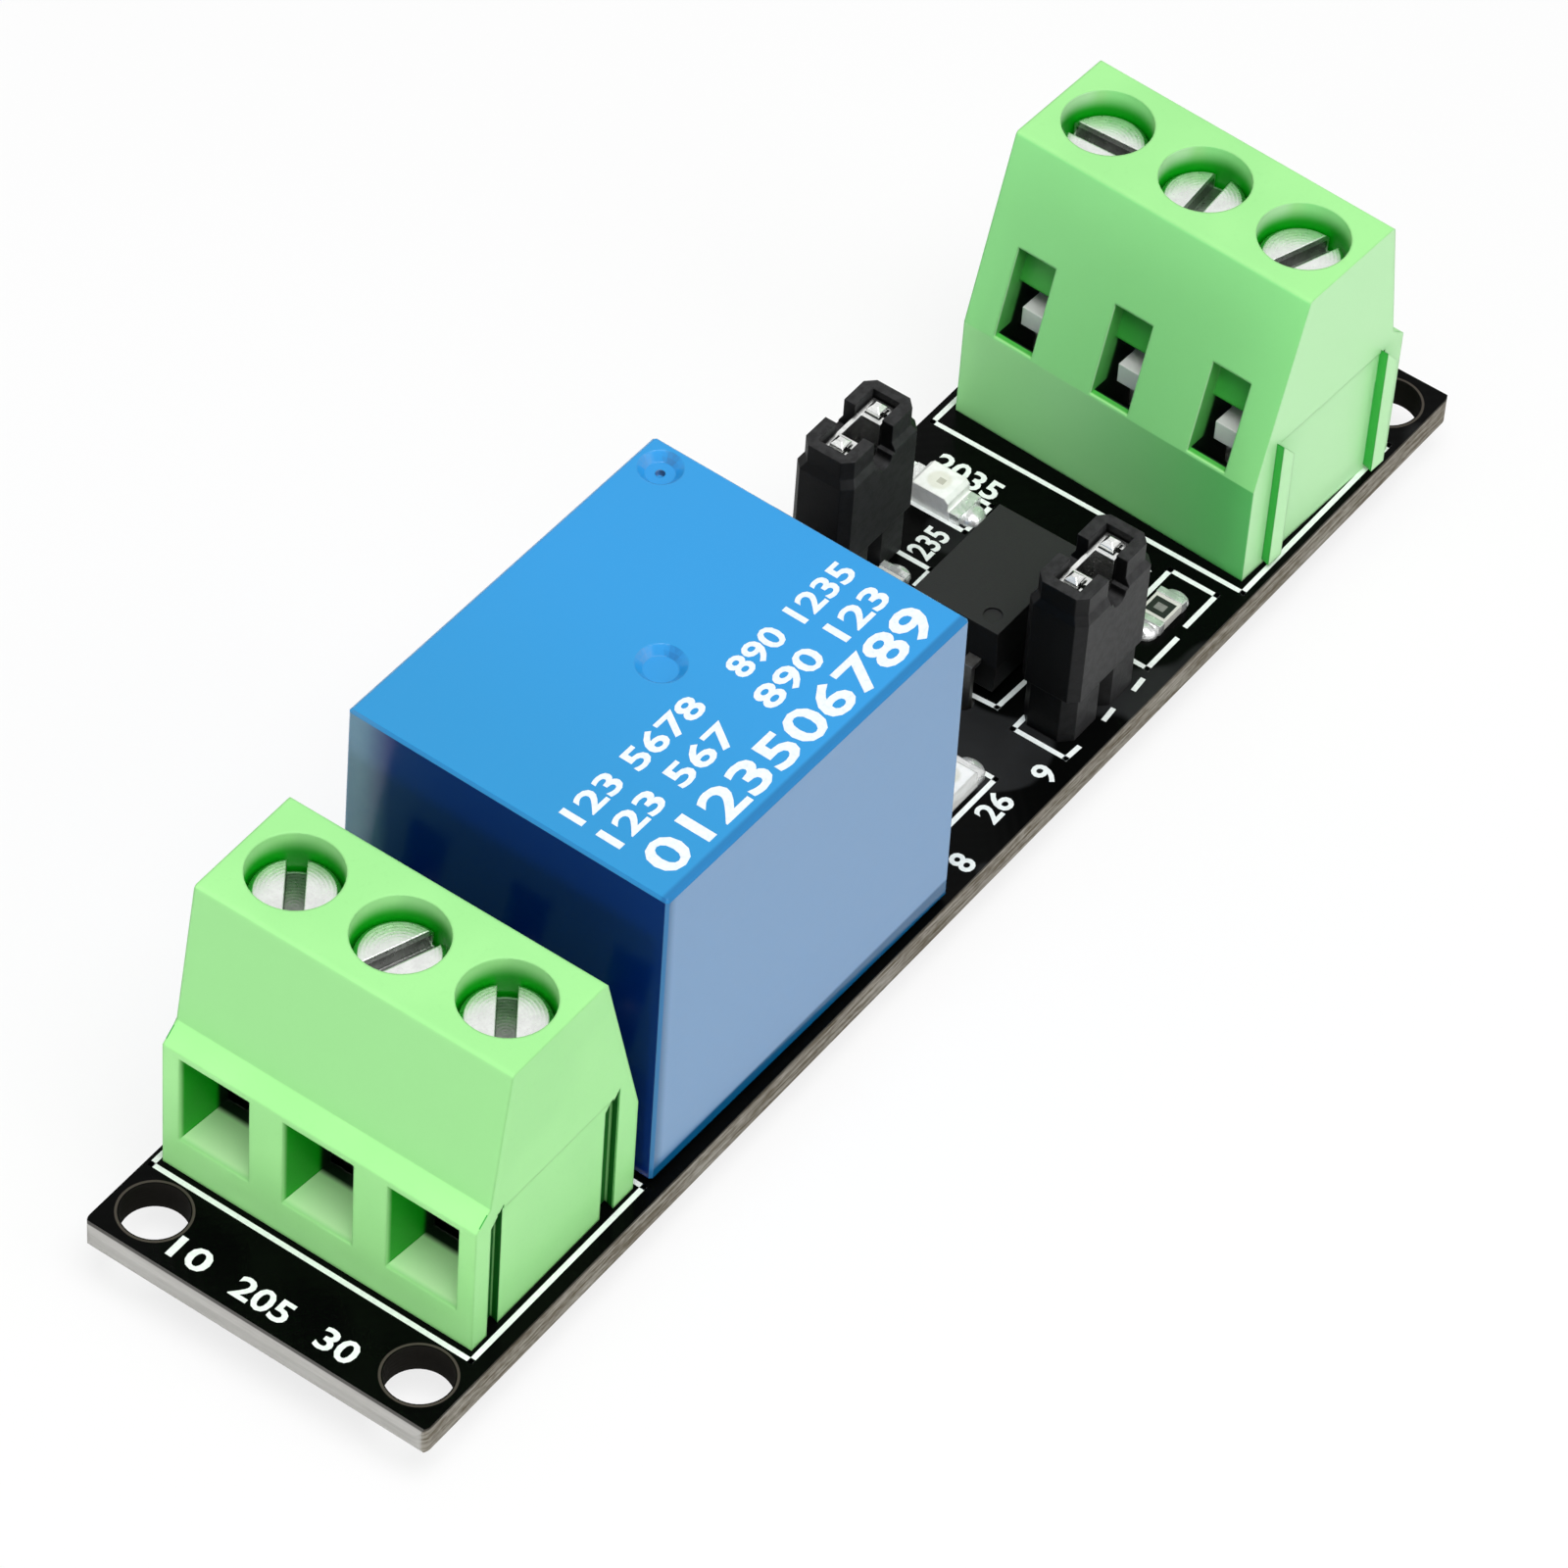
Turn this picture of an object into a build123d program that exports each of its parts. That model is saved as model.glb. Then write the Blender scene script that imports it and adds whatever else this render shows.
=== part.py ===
from build123d import *
import math
import os

# Relay module board, in millimetres.
# The origin is the centre of the four mounting holes, on the underside of the circuit board.
# +X runs from the load terminal to the control terminal, +Z is up through the parts.

os.makedirs("parts", exist_ok=True)

# Circuit board
board_side_margin = 0.45
board_thickness = 1.4
board_corner_radius = 0.5
score_depth = 0.2
score_height = 0.45
mount_hole_diameter = 2.8
mount_end_margin = 2.15
mount_side_margin = 1.85

# Through pins
pin_reach = 1.8
solder_height = 1.0
solder_neck_gap = 0.22
solder_foot_width = 0.5
solder_foot_height = 0.1
drill_clearance = 0.15
drill_sides = 8

# Screw terminal housings
pole_count = 3
pole_pitch = 5.0
housing_width = 15.0
housing_height = 14.3
housing_top_half_depth = 2.9
housing_front_depth = 4.8
housing_back_depth = 5.4
housing_back_break_height = 5.2
ledge_height = 6.9
ledge_rise = 0.7
ledge_run = 0.85
housing_edge_radius = 0.2
near_block_y = 0.25
far_block_y = -0.2
far_block_turn = -2.5

# Stations along the board: holes to block, block to relay, relay to block, block to holes
near_hole_to_block = 6.95
block_to_relay_gap = 0.7
relay_to_far_block = 27.47
far_block_to_hole = 6.88

# Side joints of the housings
joint_front_u = -3.5
joint_back_u = 3.75
joint_groove_mouth = 0.75
joint_groove_width = 1.0
joint_groove_depth = 0.5
joint_height = 7.3
joint_peak = 0.6
joint_clearance = 0.06
joint_rail_lift = 0.3
joint_rail_overlap = 0.1
panel_recess = 0.08

# Space inside each pole
well_diameter = 3.9
well_depth = 2.8
chamber_roof = 0.5
chamber_floor_height = 1.0
chamber_half_depth = 2.3
chamber_half_width = 1.9
mouth_width = 3.4
mouth_low = 1.85
mouth_high = 6.6
throat_width = 2.5
throat_low = 2.3
throat_high = 6.2
window_width = 1.95
window_low = 5.3
window_high = 9.6
window_step_height = 7.5
window_recess = 0.9
window_sill = 0.4
window_pocket_low = 2.4

# Clamp screws
screw_head_diameter = 3.6
screw_head_height = 1.7
screw_slot_width = 0.8
screw_slot_depth = 0.9
screw_shank_diameter = 2.4
screw_running_gap = 0.05
screw_tip_height = 7.25
screw_head_chamfer = 0.2
near_slot_turns = [35, -20, 35]
far_slot_turns = [-85, 6, -17]

# Rising clamps
clamp_wall = 0.5
clamp_floor_thickness = 0.5
clamp_nut_thickness = 1.0
clamp_side_gap = 0.15
clamp_front_u = -1.75
clamp_back_u = 1.2
wire_gap = 3.9
clamp_tongue_gap = 0.2

# Terminal pins
tongue_bar_thickness = 0.7
tongue_bar_top = 6.9
tongue_bar_front_u = -1.5
blade_back_gap = 0.1
blade_width = 2.2
probe_tab_width = 1.05
probe_tab_height = 1.0
probe_tab_lift = 0.1
probe_tab_reach_u = 4.1
terminal_pin_width = 1.0
terminal_pin_depth = 0.8

# Relay outside
relay_y = -0.05
relay_turn = -1.0
case_length = 19.3
case_width = 15.6
case_top_height = 16.2
case_bottom_height = 0.3
case_draft = 0.5
case_wall = 0.75
case_corner_bevel = 0.12
case_top_bevel = 0.12
dimple_depth = 0.35
dimple_flare = 0.35
gate_dimple_diameter = 2.1
vent_dimple_diameter = 1.9
vent_dimple_inset = 1.25
vent_pinhole_diameter = 0.4
vent_pinhole_depth = 0.3

# Relay base and pins
base_bottom_height = 0.5
base_thickness = 1.5
base_case_gap = 0.1
base_foot_size = 1.4
slot_gap = 0.05
contact_pin_share = 0.368
coil_pin_yoke_inset = 1.5
side_pin_inset = 1.8
contact_pin_width = 1.0
contact_leg_width = 1.6
contact_strip = 0.5
coil_pin_size = 0.6

# Relay magnet
yoke_thickness = 1.2
yoke_back_share = 0.342
yoke_pin_gap = 1.2
yoke_foot_margin = 0.85
yoke_case_drop = 3.85
flange_thickness = 0.8
flange_yoke_gap = 0.1
flange_side_overhang = 0.65
flange_yoke_drop = 0.85
coil_contact_gap = 1.3
bobbin_tube_share = 0.61
bobbin_tube_wall = 0.65
core_fit_gap = 0.05
core_head_overhang = 1.0
core_head_thickness = 0.55
winding_margin = 0.55
winding_gap = 0.05

# Relay armature and contacts
armature_gap = 0.05
armature_thickness = 1.0
armature_side_margin = 1.0
armature_tip_overhang = 1.1
leaf_thickness = 0.2
leaf_width = 5.0
leaf_neck_width = 3.0
leaf_taper = 2.0
leaf_tip_reach = 1.1
leaf_tail_gap = 0.3
leaf_tail_length = 1.75
rivet_radius = 0.9
rivet_half_height = 0.35
closed_contact_gap = 0.1
contact_travel = 0.45
common_strip_width = 3.0
common_strip_height = 5.0

# Pin headers and jumper shunts
header_pitch = 2.54
header_pins = 2
header_base_width = 2.5
header_base_height = 2.5
header_notch = 0.5
header_pin_size = 0.64
header_pin_reach = 1.5
header_tip = 0.2
left_header_station = 12.3
left_header_y = 5.85
right_header_station = 12.05
right_header_y = -5.9
shunt_seat_gap = 0.05
shunt_top_height = 8.3
shunt_shoulder_height = 7.0
shunt_shoulder_rise = 0.35
shunt_length = 5.2
shunt_width = 2.85
shunt_rim_inset = 0.2
shunt_corner_cut = 0.4
shunt_cavity_length = 3.8
shunt_cavity_width = 1.35
shunt_slot_width = 1.3
shunt_slot_height = 1.4
shunt_sight_diameter = 0.9
clip_thickness = 0.2
clip_gap = 0.05
clip_bottom_height = 3.0
clip_top_height = 7.9
clip_lip = 0.25

# Optocoupler
opto_station = 12.75
opto_y = -1.15
opto_length = 6.5
opto_width = 4.6
opto_bottom_height = 0.5
opto_height = 3.4
opto_draft = 7.0
opto_row_spacing = 7.62
opto_lead_pitch = 2.54
opto_lead_width = 0.6
opto_lead_thickness = 0.25
opto_mark_diameter = 0.8
opto_mark_depth = 0.1

# Surface parts, their places as a station past the relay, a distance across and a turn
led_length = 3.2
led_width = 1.6
led_base_height = 0.5
led_lens_height = 0.6
led_lens_length = 2.0
led_end_length = 0.5
power_led_place = (17.7, 5.1, 90)
relay_led_place = (4.4, -4.75, 0)
resistor_length = 2.0
resistor_width = 1.25
resistor_height = 0.5
resistor_end_length = 0.35
resistor_end_proud = 0.03
resistor_lift = 0.02
resistor_places = [(12.0, 3.85, 0), (18.0, -5.9, 0), (5.2, -0.7, 90), (7.2, -0.7, 90)]
transistor_place = (5.9, 3.7, 0)
transistor_length = 2.9
transistor_width = 1.3
transistor_height = 1.0
small_body_lift = 0.1
small_body_chamfer = 0.15
transistor_lead_pitch = 1.9
transistor_lead_width = 0.4
small_lead_reach = 0.6
small_lead_knee = 0.2
small_lead_thickness = 0.15
diode_place = (2.4, 1.0, 90)
diode_length = 2.7
diode_width = 1.6
diode_height = 1.1
diode_lead_width = 0.6


def block(x0, x1, y0, y1, z0, z1):
    """A box between two corners."""
    centre = Pos((x0 + x1) / 2, (y0 + y1) / 2, (z0 + z1) / 2)
    return centre * Box(x1 - x0, y1 - y0, z1 - z0)


def centred_block(x, y, length, width, z0, z1):
    """A box centred on a point of the plan."""
    return block(x - length / 2, x + length / 2, y - width / 2, y + width / 2, z0, z1)


def post(x, y, radius, z0, z1):
    """A round upright between two heights."""
    return Pos(x, y, (z0 + z1) / 2) * Cylinder(radius, z1 - z0)


def side_profile(points, width, v=0.0):
    """A profile in the X-Z plane, given a width along Y."""
    face = Plane.XZ * Polygon(*points, align=None)
    return Pos(0, v, 0) * extrude(face, amount=width / 2, both=True)


def end_profile(points, length, u=0.0):
    """A profile in the Y-Z plane, given a length along X."""
    face = Plane.YZ * Polygon(*points, align=None)
    return Pos(u, 0, 0) * extrude(face, amount=length / 2, both=True)


def write(node, shape, place):
    """Writes one node, with each of its solids moved to its place."""
    solids = [place * solid for solid in shape.solids()]
    placed = solids[0] if len(solids) == 1 else Compound(children=solids)
    export_step(placed, "parts/" + node + ".step")


# The board is as long as what stands along it, and as wide as the relay with a margin.
mount_spacing_x = (near_hole_to_block + housing_back_depth + block_to_relay_gap
                   + case_length + relay_to_far_block + far_block_to_hole)
board_length = mount_spacing_x + 2 * mount_end_margin
board_width = case_width + 2 * board_side_margin
mount_spacing_y = board_width - 2 * mount_side_margin
near_block_x = near_hole_to_block - mount_spacing_x / 2
relay_x = near_block_x + housing_back_depth + block_to_relay_gap + case_length / 2
relay_end_x = relay_x + case_length / 2
far_block_x = relay_end_x + relay_to_far_block

# Places of the sub-assemblies, each with its own height zero on the board's top face.
near_place = Pos(near_block_x, near_block_y, board_thickness)
far_place = Pos(far_block_x, far_block_y, board_thickness) * Rot(0, 0, 180 + far_block_turn)
relay_place = Pos(relay_x, relay_y, board_thickness) * Rot(0, 0, relay_turn)
left_header_place = Pos(relay_end_x + left_header_station, left_header_y, board_thickness)
right_header_place = Pos(relay_end_x + right_header_station, right_header_y, board_thickness)
opto_place = Pos(relay_end_x + opto_station, opto_y, board_thickness)
surface_place = Pos(relay_end_x, 0, board_thickness)
board_place = Pos(0, 0, 0)

pin_tip = -board_thickness - pin_reach
header_pin_tip = -board_thickness - header_pin_reach
pole_places = [pole_pitch * (i - (pole_count - 1) / 2) for i in range(pole_count)]
header_pin_places = [header_pitch * (i - (header_pins - 1) / 2) for i in range(header_pins)]
opto_lead_places = [
    (side * opto_row_spacing / 2, row * opto_lead_pitch / 2) for side in (-1, 1) for row in (-1, 1)
]

# Heights that follow the terminal's top.
well_floor_height = housing_height - well_depth
chamber_top_height = well_floor_height - chamber_roof

# Inside the relay: pins in from the case's ends, and the coil between the contacts and the yoke.
contact_pin_x = -contact_pin_share * case_length
side_pin_y = case_width / 2 - side_pin_inset
yoke_back_x = yoke_back_share * case_length
yoke_width = 2 * (side_pin_y - coil_pin_size / 2 - yoke_pin_gap)
coil_pin_x = yoke_back_x - coil_pin_yoke_inset
common_pin_x = yoke_back_x + contact_strip / 2
coil_front_x = contact_pin_x + contact_leg_width / 2 + coil_contact_gap
coil_back_x = yoke_back_x - yoke_thickness - flange_yoke_gap
coil_x = (coil_front_x + coil_back_x) / 2
flange_length = coil_back_x - coil_front_x
flange_width = yoke_width + 2 * flange_side_overhang
winding_radius = min(flange_length, flange_width) / 2 - winding_margin
bobbin_tube_radius = bobbin_tube_share * winding_radius
core_radius = bobbin_tube_radius - bobbin_tube_wall
core_head_radius = core_radius + core_head_overhang
yoke_foot_end_x = coil_x - core_radius - yoke_foot_margin
armature_width = yoke_width - 2 * armature_side_margin
armature_tip_x = coil_x - core_head_radius - armature_tip_overhang
leaf_tip_x = contact_pin_x - leaf_tip_reach
leaf_tail_x = yoke_back_x + leaf_tail_gap + leaf_thickness

# Heights inside the relay that the case and the base set.
base_top_height = base_bottom_height + base_thickness
yoke_bottom_height = base_top_height
yoke_top_height = case_top_height - yoke_case_drop
upper_flange_top = yoke_top_height - flange_yoke_drop
leaf_tail_bottom = yoke_top_height - leaf_tail_length
common_strip_top = base_top_height + common_strip_height


def through_pins():
    """Every pin that passes through the board: place, point, section sizes and reach."""
    pins = []
    for place in (near_place, far_place):
        for v in pole_places:
            pins.append((place, (0.0, v), (terminal_pin_depth, terminal_pin_width), pin_reach))
    for sign in (-1, 1):
        contact = (contact_pin_x, sign * side_pin_y)
        coil = (coil_pin_x, sign * side_pin_y)
        pins.append((relay_place, contact, (contact_pin_width, contact_strip), pin_reach))
        pins.append((relay_place, coil, (coil_pin_size, coil_pin_size), pin_reach))
    pins.append((relay_place, (common_pin_x, 0.0), (contact_strip, contact_pin_width), pin_reach))
    for place in (left_header_place, right_header_place):
        for u in header_pin_places:
            pins.append((place, (u, 0.0), (header_pin_size, header_pin_size), header_pin_reach))
    for point in opto_lead_places:
        pins.append((opto_place, point, (opto_lead_thickness, opto_lead_width), header_pin_reach))
    return pins


def section_radius(section):
    """Half the diagonal of a pin's section."""
    return math.hypot(section[0], section[1]) / 2


def circuit_board():
    """The laminate, with scored ends, four mounting holes and a drilled hole for each pin."""
    outline = RectangleRounded(board_length, board_width, board_corner_radius)
    board = extrude(outline, amount=board_thickness)
    half = board_length / 2
    for side in (-1, 1):
        for low in (0.0, board_thickness):
            inward = score_height if low == 0.0 else -score_height
            tip = (side * half, low + inward)
            corner = (side * (half + 1.0), low)
            bevel = [(side * (half - score_depth), low), corner, tip]
            board -= side_profile(bevel, board_width + 2)
    for sx in (-1, 1):
        for sy in (-1, 1):
            x = sx * mount_spacing_x / 2
            y = sy * mount_spacing_y / 2
            board -= post(x, y, mount_hole_diameter / 2, -1, board_thickness + 1)
    for place, point, section, reach in through_pins():
        drill = section_radius(section) + drill_clearance
        hole = Pos(point[0], point[1], -board_thickness - 1) * RegularPolygon(drill, drill_sides)
        board -= place * extrude(hole, amount=board_thickness + 2)
    return board


def solder_joints():
    """A solder fillet under the board round each through pin."""
    joints = []
    for place, point, section, reach in through_pins():
        foot = section_radius(section) + solder_foot_width
        low = -board_thickness - solder_height
        column = extrude(Pos(point[0], point[1], low) * RegularPolygon(foot, drill_sides), amount=solder_height)
        tip = column.faces().sort_by(Axis.Z)[0]
        narrowing = solder_foot_width - solder_neck_gap
        cone = chamfer(tip.edges(), narrowing, solder_height - solder_foot_height, reference=tip)
        shaft = centred_block(point[0], point[1], section[0], section[1], low - 1, 1)
        joints.append(place * (cone - shaft).solid())
    return Compound(children=joints)


def housing_outline():
    """The housing's side outline, wire side towards -X."""
    return [
        (-housing_front_depth, 0),
        (-housing_front_depth, ledge_height),
        (-housing_front_depth + ledge_run, ledge_height + ledge_rise),
        (-housing_top_half_depth, housing_height),
        (housing_top_half_depth, housing_height),
        (housing_back_depth, housing_back_break_height),
        (housing_back_depth, 0),
    ]


def back_wall_u(z):
    """Where the sloped back wall lies at a height."""
    run = housing_back_depth - housing_top_half_depth
    share = (housing_height - z) / (housing_height - housing_back_break_height)
    return housing_top_half_depth + run * share


def wire_funnel(v):
    """The tapered wire entry of one pole."""
    outer_u = -housing_front_depth
    inner_u = -chamber_half_depth
    wide = mouth_width / 2
    half = throat_width / 2
    upright = [(outer_u, mouth_low), (inner_u, throat_low), (inner_u, throat_high), (outer_u, mouth_high)]
    plan = [(outer_u, v - wide), (inner_u, v - half), (inner_u, v + half), (outer_u, v + wide)]
    narrowing = extrude(Polygon(*plan, align=None), amount=housing_height, dir=(0, 0, 1))
    funnel = side_profile(upright, mouth_width, v) & narrowing
    passage = block(inner_u - 0.1, inner_u + 0.3, v - half, v + half, throat_low, throat_high)
    return funnel + passage


def sight_window(v):
    """The window in the sloped back of one pole: a recess that opens into a deep pocket."""
    half = window_width / 2
    low_u = back_wall_u(window_low)
    high_u = back_wall_u(window_high)
    recess_outline = [
        (low_u + 1.0, window_low),
        (low_u - window_recess, window_low),
        (high_u - window_recess, window_high),
        (high_u + 1.0, window_high),
    ]
    recess = side_profile(recess_outline, window_width, v)
    inner_u = chamber_half_depth - 0.1
    pocket_u = low_u - window_sill
    opening = block(inner_u, low_u, v - half, v + half, window_low, window_step_height)
    pocket = block(inner_u, pocket_u, v - half, v + half, window_pocket_low, window_step_height)
    return recess + opening + pocket


def pole_space(v):
    """Everything cut away for one pole: well, chamber, funnel, window and pin slot."""
    half_width = chamber_half_width
    well = post(0, v, well_diameter / 2, well_floor_height, housing_height + 1)
    neck = post(0, v, screw_shank_diameter / 2 + 2 * screw_running_gap, chamber_top_height - 1, housing_height)
    chamber = block(-chamber_half_depth, chamber_half_depth, v - half_width, v + half_width,
                    chamber_floor_height, chamber_top_height)
    slot = centred_block(0, v, terminal_pin_depth + 2 * slot_gap, terminal_pin_width + 2 * slot_gap,
                         -1, chamber_floor_height + 1)
    return well + neck + chamber + wire_funnel(v) + sight_window(v) + slot


def joint_bar(centre_u, face_v, away, mouth, wide, depth, low, top):
    """An upright dovetail bar standing on a side face, with a peaked top."""
    plan = [
        (centre_u - mouth / 2, face_v - away * joint_rail_overlap),
        (centre_u - mouth / 2, face_v),
        (centre_u - wide / 2, face_v + away * depth),
        (centre_u + wide / 2, face_v + away * depth),
        (centre_u + mouth / 2, face_v),
        (centre_u + mouth / 2, face_v - away * joint_rail_overlap),
    ]
    bar = extrude(Pos(0, 0, low) * Polygon(*plan, align=None), amount=top - low, dir=(0, 0, 1))
    peak = [
        (centre_u - wide, top - joint_peak - wide),
        (centre_u - wide, top + 1),
        (centre_u + wide, top + 1),
        (centre_u + wide, top),
        (centre_u + wide / 2, top),
    ]
    return bar - side_profile(peak, 4 * depth, face_v)


def joint_grooves():
    """The two dovetail grooves in the side towards -Y that a neighbour's rails slide into."""
    face_v = -housing_width / 2
    cuts = [
        joint_bar(centre_u, face_v, 1, joint_groove_mouth, joint_groove_width, joint_groove_depth, -1, joint_height)
        for centre_u in (joint_front_u, joint_back_u)
    ]
    return cuts[0] + cuts[1]


def joint_rails():
    """The two dovetail rails on the side towards +Y, a clearance smaller than the grooves."""
    face_v = housing_width / 2
    rails = [
        joint_bar(centre_u, face_v, 1, joint_groove_mouth - 2 * joint_clearance,
                  joint_groove_width - 2 * joint_clearance, joint_groove_depth - joint_clearance,
                  joint_rail_lift, joint_height - joint_clearance)
        for centre_u in (joint_front_u, joint_back_u)
    ]
    return rails[0] + rails[1]


def terminal_housing():
    """The moulded housing of one three-pole screw terminal."""
    body = side_profile(housing_outline(), housing_width)
    top_edges = body.edges().filter_by(Axis.Y).filter_by(lambda e: e.center().Z > housing_height - 0.1)
    body = fillet(top_edges, housing_edge_radius)
    side_v = housing_width / 2
    for near_v, far_v in ((-side_v - 1, -side_v + panel_recess), (side_v - panel_recess, side_v + 1)):
        body -= block(joint_front_u, joint_back_u, near_v, far_v, -1, ledge_height)
    body -= joint_grooves()
    body += joint_rails()
    for v in pole_places:
        body -= pole_space(v)
    return body


def clamp_screw(v, slot_turn):
    """A slotted clamp screw, its head in the well and its shank through the clamp."""
    head = post(0, v, screw_head_diameter / 2, well_floor_height, well_floor_height + screw_head_height)
    rim = head.edges().sort_by(Axis.Z)[-1]
    head = chamfer(rim, screw_head_chamfer)
    shank = post(0, v, screw_shank_diameter / 2, screw_tip_height, well_floor_height)
    slot_floor = well_floor_height + screw_head_height - screw_slot_depth
    slot = centred_block(0, 0, screw_head_diameter + 1, screw_slot_width, slot_floor, housing_height)
    return head + shank - Pos(0, v, 0) * Rot(0, 0, slot_turn) * slot


# Heights of the rising clamp, worked from the bar that it pulls the wire up to.
bar_bottom = tongue_bar_top - tongue_bar_thickness
clamp_floor_top = bar_bottom - wire_gap
clamp_bottom = clamp_floor_top - clamp_floor_thickness
clamp_nut_bottom = tongue_bar_top + clamp_tongue_gap
clamp_top = clamp_nut_bottom + clamp_nut_thickness


def rising_clamp(v):
    """The square cage that the screw pulls up to grip the wire."""
    half = chamber_half_width - clamp_side_gap
    inner = half - clamp_wall
    cage = block(clamp_front_u, clamp_back_u, v - half, v + half, clamp_bottom, clamp_top)
    cage -= block(clamp_front_u - 1, clamp_back_u + 1, v - inner, v + inner, clamp_floor_top, clamp_nut_bottom)
    cage = chamfer(cage.edges().filter_by(Axis.X).group_by(SortBy.DISTANCE)[-1], 0.2)
    cage -= post(0, v, screw_shank_diameter / 2 + screw_running_gap, clamp_floor_top + 1, clamp_top + 1)
    return cage


def terminal_pin(v):
    """The bent strip that the wire is clamped to, with its solder pin and the tab behind the window."""
    back_u = chamber_half_depth - blade_back_gap
    blade_front = back_u - tongue_bar_thickness
    foot_top = chamber_floor_height + tongue_bar_thickness
    foot_front = -terminal_pin_depth / 2
    outline = [
        (foot_front, chamber_floor_height),
        (back_u, chamber_floor_height),
        (back_u, tongue_bar_top),
        (tongue_bar_front_u, tongue_bar_top),
        (tongue_bar_front_u, bar_bottom),
        (blade_front, bar_bottom),
        (blade_front, foot_top),
        (foot_front, foot_top),
    ]
    strip = side_profile(outline, blade_width, v)
    tab_low = window_low + probe_tab_lift
    half = probe_tab_width / 2
    tab = block(back_u, probe_tab_reach_u, v - half, v + half, tab_low, tab_low + probe_tab_height)
    pin = centred_block(0, v, terminal_pin_depth, terminal_pin_width, pin_tip, chamber_floor_height)
    pin = chamfer(pin.faces().sort_by(Axis.Z)[0].edges(), 0.15)
    return strip + tab + pin


def case_dimple(x, y, radius):
    """A round dimple in the cover's top, with a flared wall."""
    return Pos(x, y, case_top_height - dimple_depth / 2) * Cone(radius - dimple_flare, radius, dimple_depth)


def relay_case():
    """The drafted cover, open underneath, with its moulding dimples on top."""
    height = case_top_height - case_bottom_height
    shrink = height * math.tan(math.radians(case_draft))
    outline = Pos(0, 0, case_bottom_height) * Rectangle(case_length, case_width)
    shell = extrude(outline, amount=height, taper=case_draft)
    upright_edges = shell.edges().filter_by(lambda e: e.bounding_box().size.Z > height / 2)
    shell = chamfer(upright_edges, case_corner_bevel)
    shell = chamfer(shell.faces().sort_by(Axis.Z)[-1].edges(), case_top_bevel)
    inner_outline = Rectangle(case_length - 2 * case_wall, case_width - 2 * case_wall)
    hollow = extrude(Pos(0, 0, case_bottom_height) * inner_outline, amount=height - case_wall, taper=case_draft)
    shell -= hollow
    vent_x = case_length / 2 - shrink - vent_dimple_inset
    vent_y = case_width / 2 - shrink - vent_dimple_inset
    shell -= case_dimple(0, 0, gate_dimple_diameter / 2)
    shell -= case_dimple(vent_x, vent_y, vent_dimple_diameter / 2)
    pinhole_floor = case_top_height - dimple_depth - vent_pinhole_depth
    shell -= post(vent_x, vent_y, vent_pinhole_diameter / 2, pinhole_floor, case_top_height)
    return shell


def relay_base():
    """The moulded base that the pins stand in, with a foot at each corner."""
    length = case_length - 2 * (case_wall + base_case_gap + 0.1)
    width = case_width - 2 * (case_wall + base_case_gap + 0.1)
    base = centred_block(0, 0, length, width, base_bottom_height, base_top_height)
    for sx in (-1, 1):
        for sy in (-1, 1):
            x = sx * (length - base_foot_size) / 2
            y = sy * (width - base_foot_size) / 2
            base += centred_block(x, y, base_foot_size, base_foot_size, 0, base_bottom_height)
    for sign in (-1, 1):
        base -= centred_block(contact_pin_x, sign * side_pin_y, contact_pin_width + 2 * slot_gap,
                              contact_strip + 2 * slot_gap, -1, base_top_height + 1)
        base -= centred_block(coil_pin_x, sign * side_pin_y, coil_pin_size + 2 * slot_gap,
                              coil_pin_size + 2 * slot_gap, -1, base_top_height + 1)
    base -= centred_block(common_pin_x, 0, contact_strip + 2 * slot_gap,
                          contact_pin_width + 2 * slot_gap, -1, base_top_height + 1)
    return base


# Heights inside the relay, each standing on the one before.
yoke_foot_top = yoke_bottom_height + yoke_thickness
lower_flange_bottom = yoke_foot_top
lower_flange_top = lower_flange_bottom + flange_thickness
upper_flange_bottom = upper_flange_top - flange_thickness
core_head_top = upper_flange_top + core_head_thickness
armature_bottom = yoke_top_height + armature_gap
armature_top = armature_bottom + armature_thickness
leaf_top = armature_top + leaf_thickness
leaf_middle = armature_top + leaf_thickness / 2
moving_contact_top = leaf_middle + rivet_half_height
moving_contact_bottom = leaf_middle - rivet_half_height
closed_contact_bottom = moving_contact_top + closed_contact_gap
open_contact_top = moving_contact_bottom - contact_travel


def relay_yoke():
    """The bent iron yoke under and behind the coil."""
    outline = [
        (yoke_foot_end_x, yoke_bottom_height),
        (yoke_back_x, yoke_bottom_height),
        (yoke_back_x, yoke_top_height),
        (yoke_back_x - yoke_thickness, yoke_top_height),
        (yoke_back_x - yoke_thickness, yoke_foot_top),
        (yoke_foot_end_x, yoke_foot_top),
    ]
    yoke = side_profile(outline, yoke_width)
    return yoke - post(coil_x, 0, core_radius + core_fit_gap, yoke_bottom_height - 1, yoke_foot_top + 1)


def relay_core():
    """The headed iron core, staked in the yoke."""
    shaft = post(coil_x, 0, core_radius, yoke_bottom_height, upper_flange_top)
    return shaft + post(coil_x, 0, core_head_radius, upper_flange_top, core_head_top)


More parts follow.
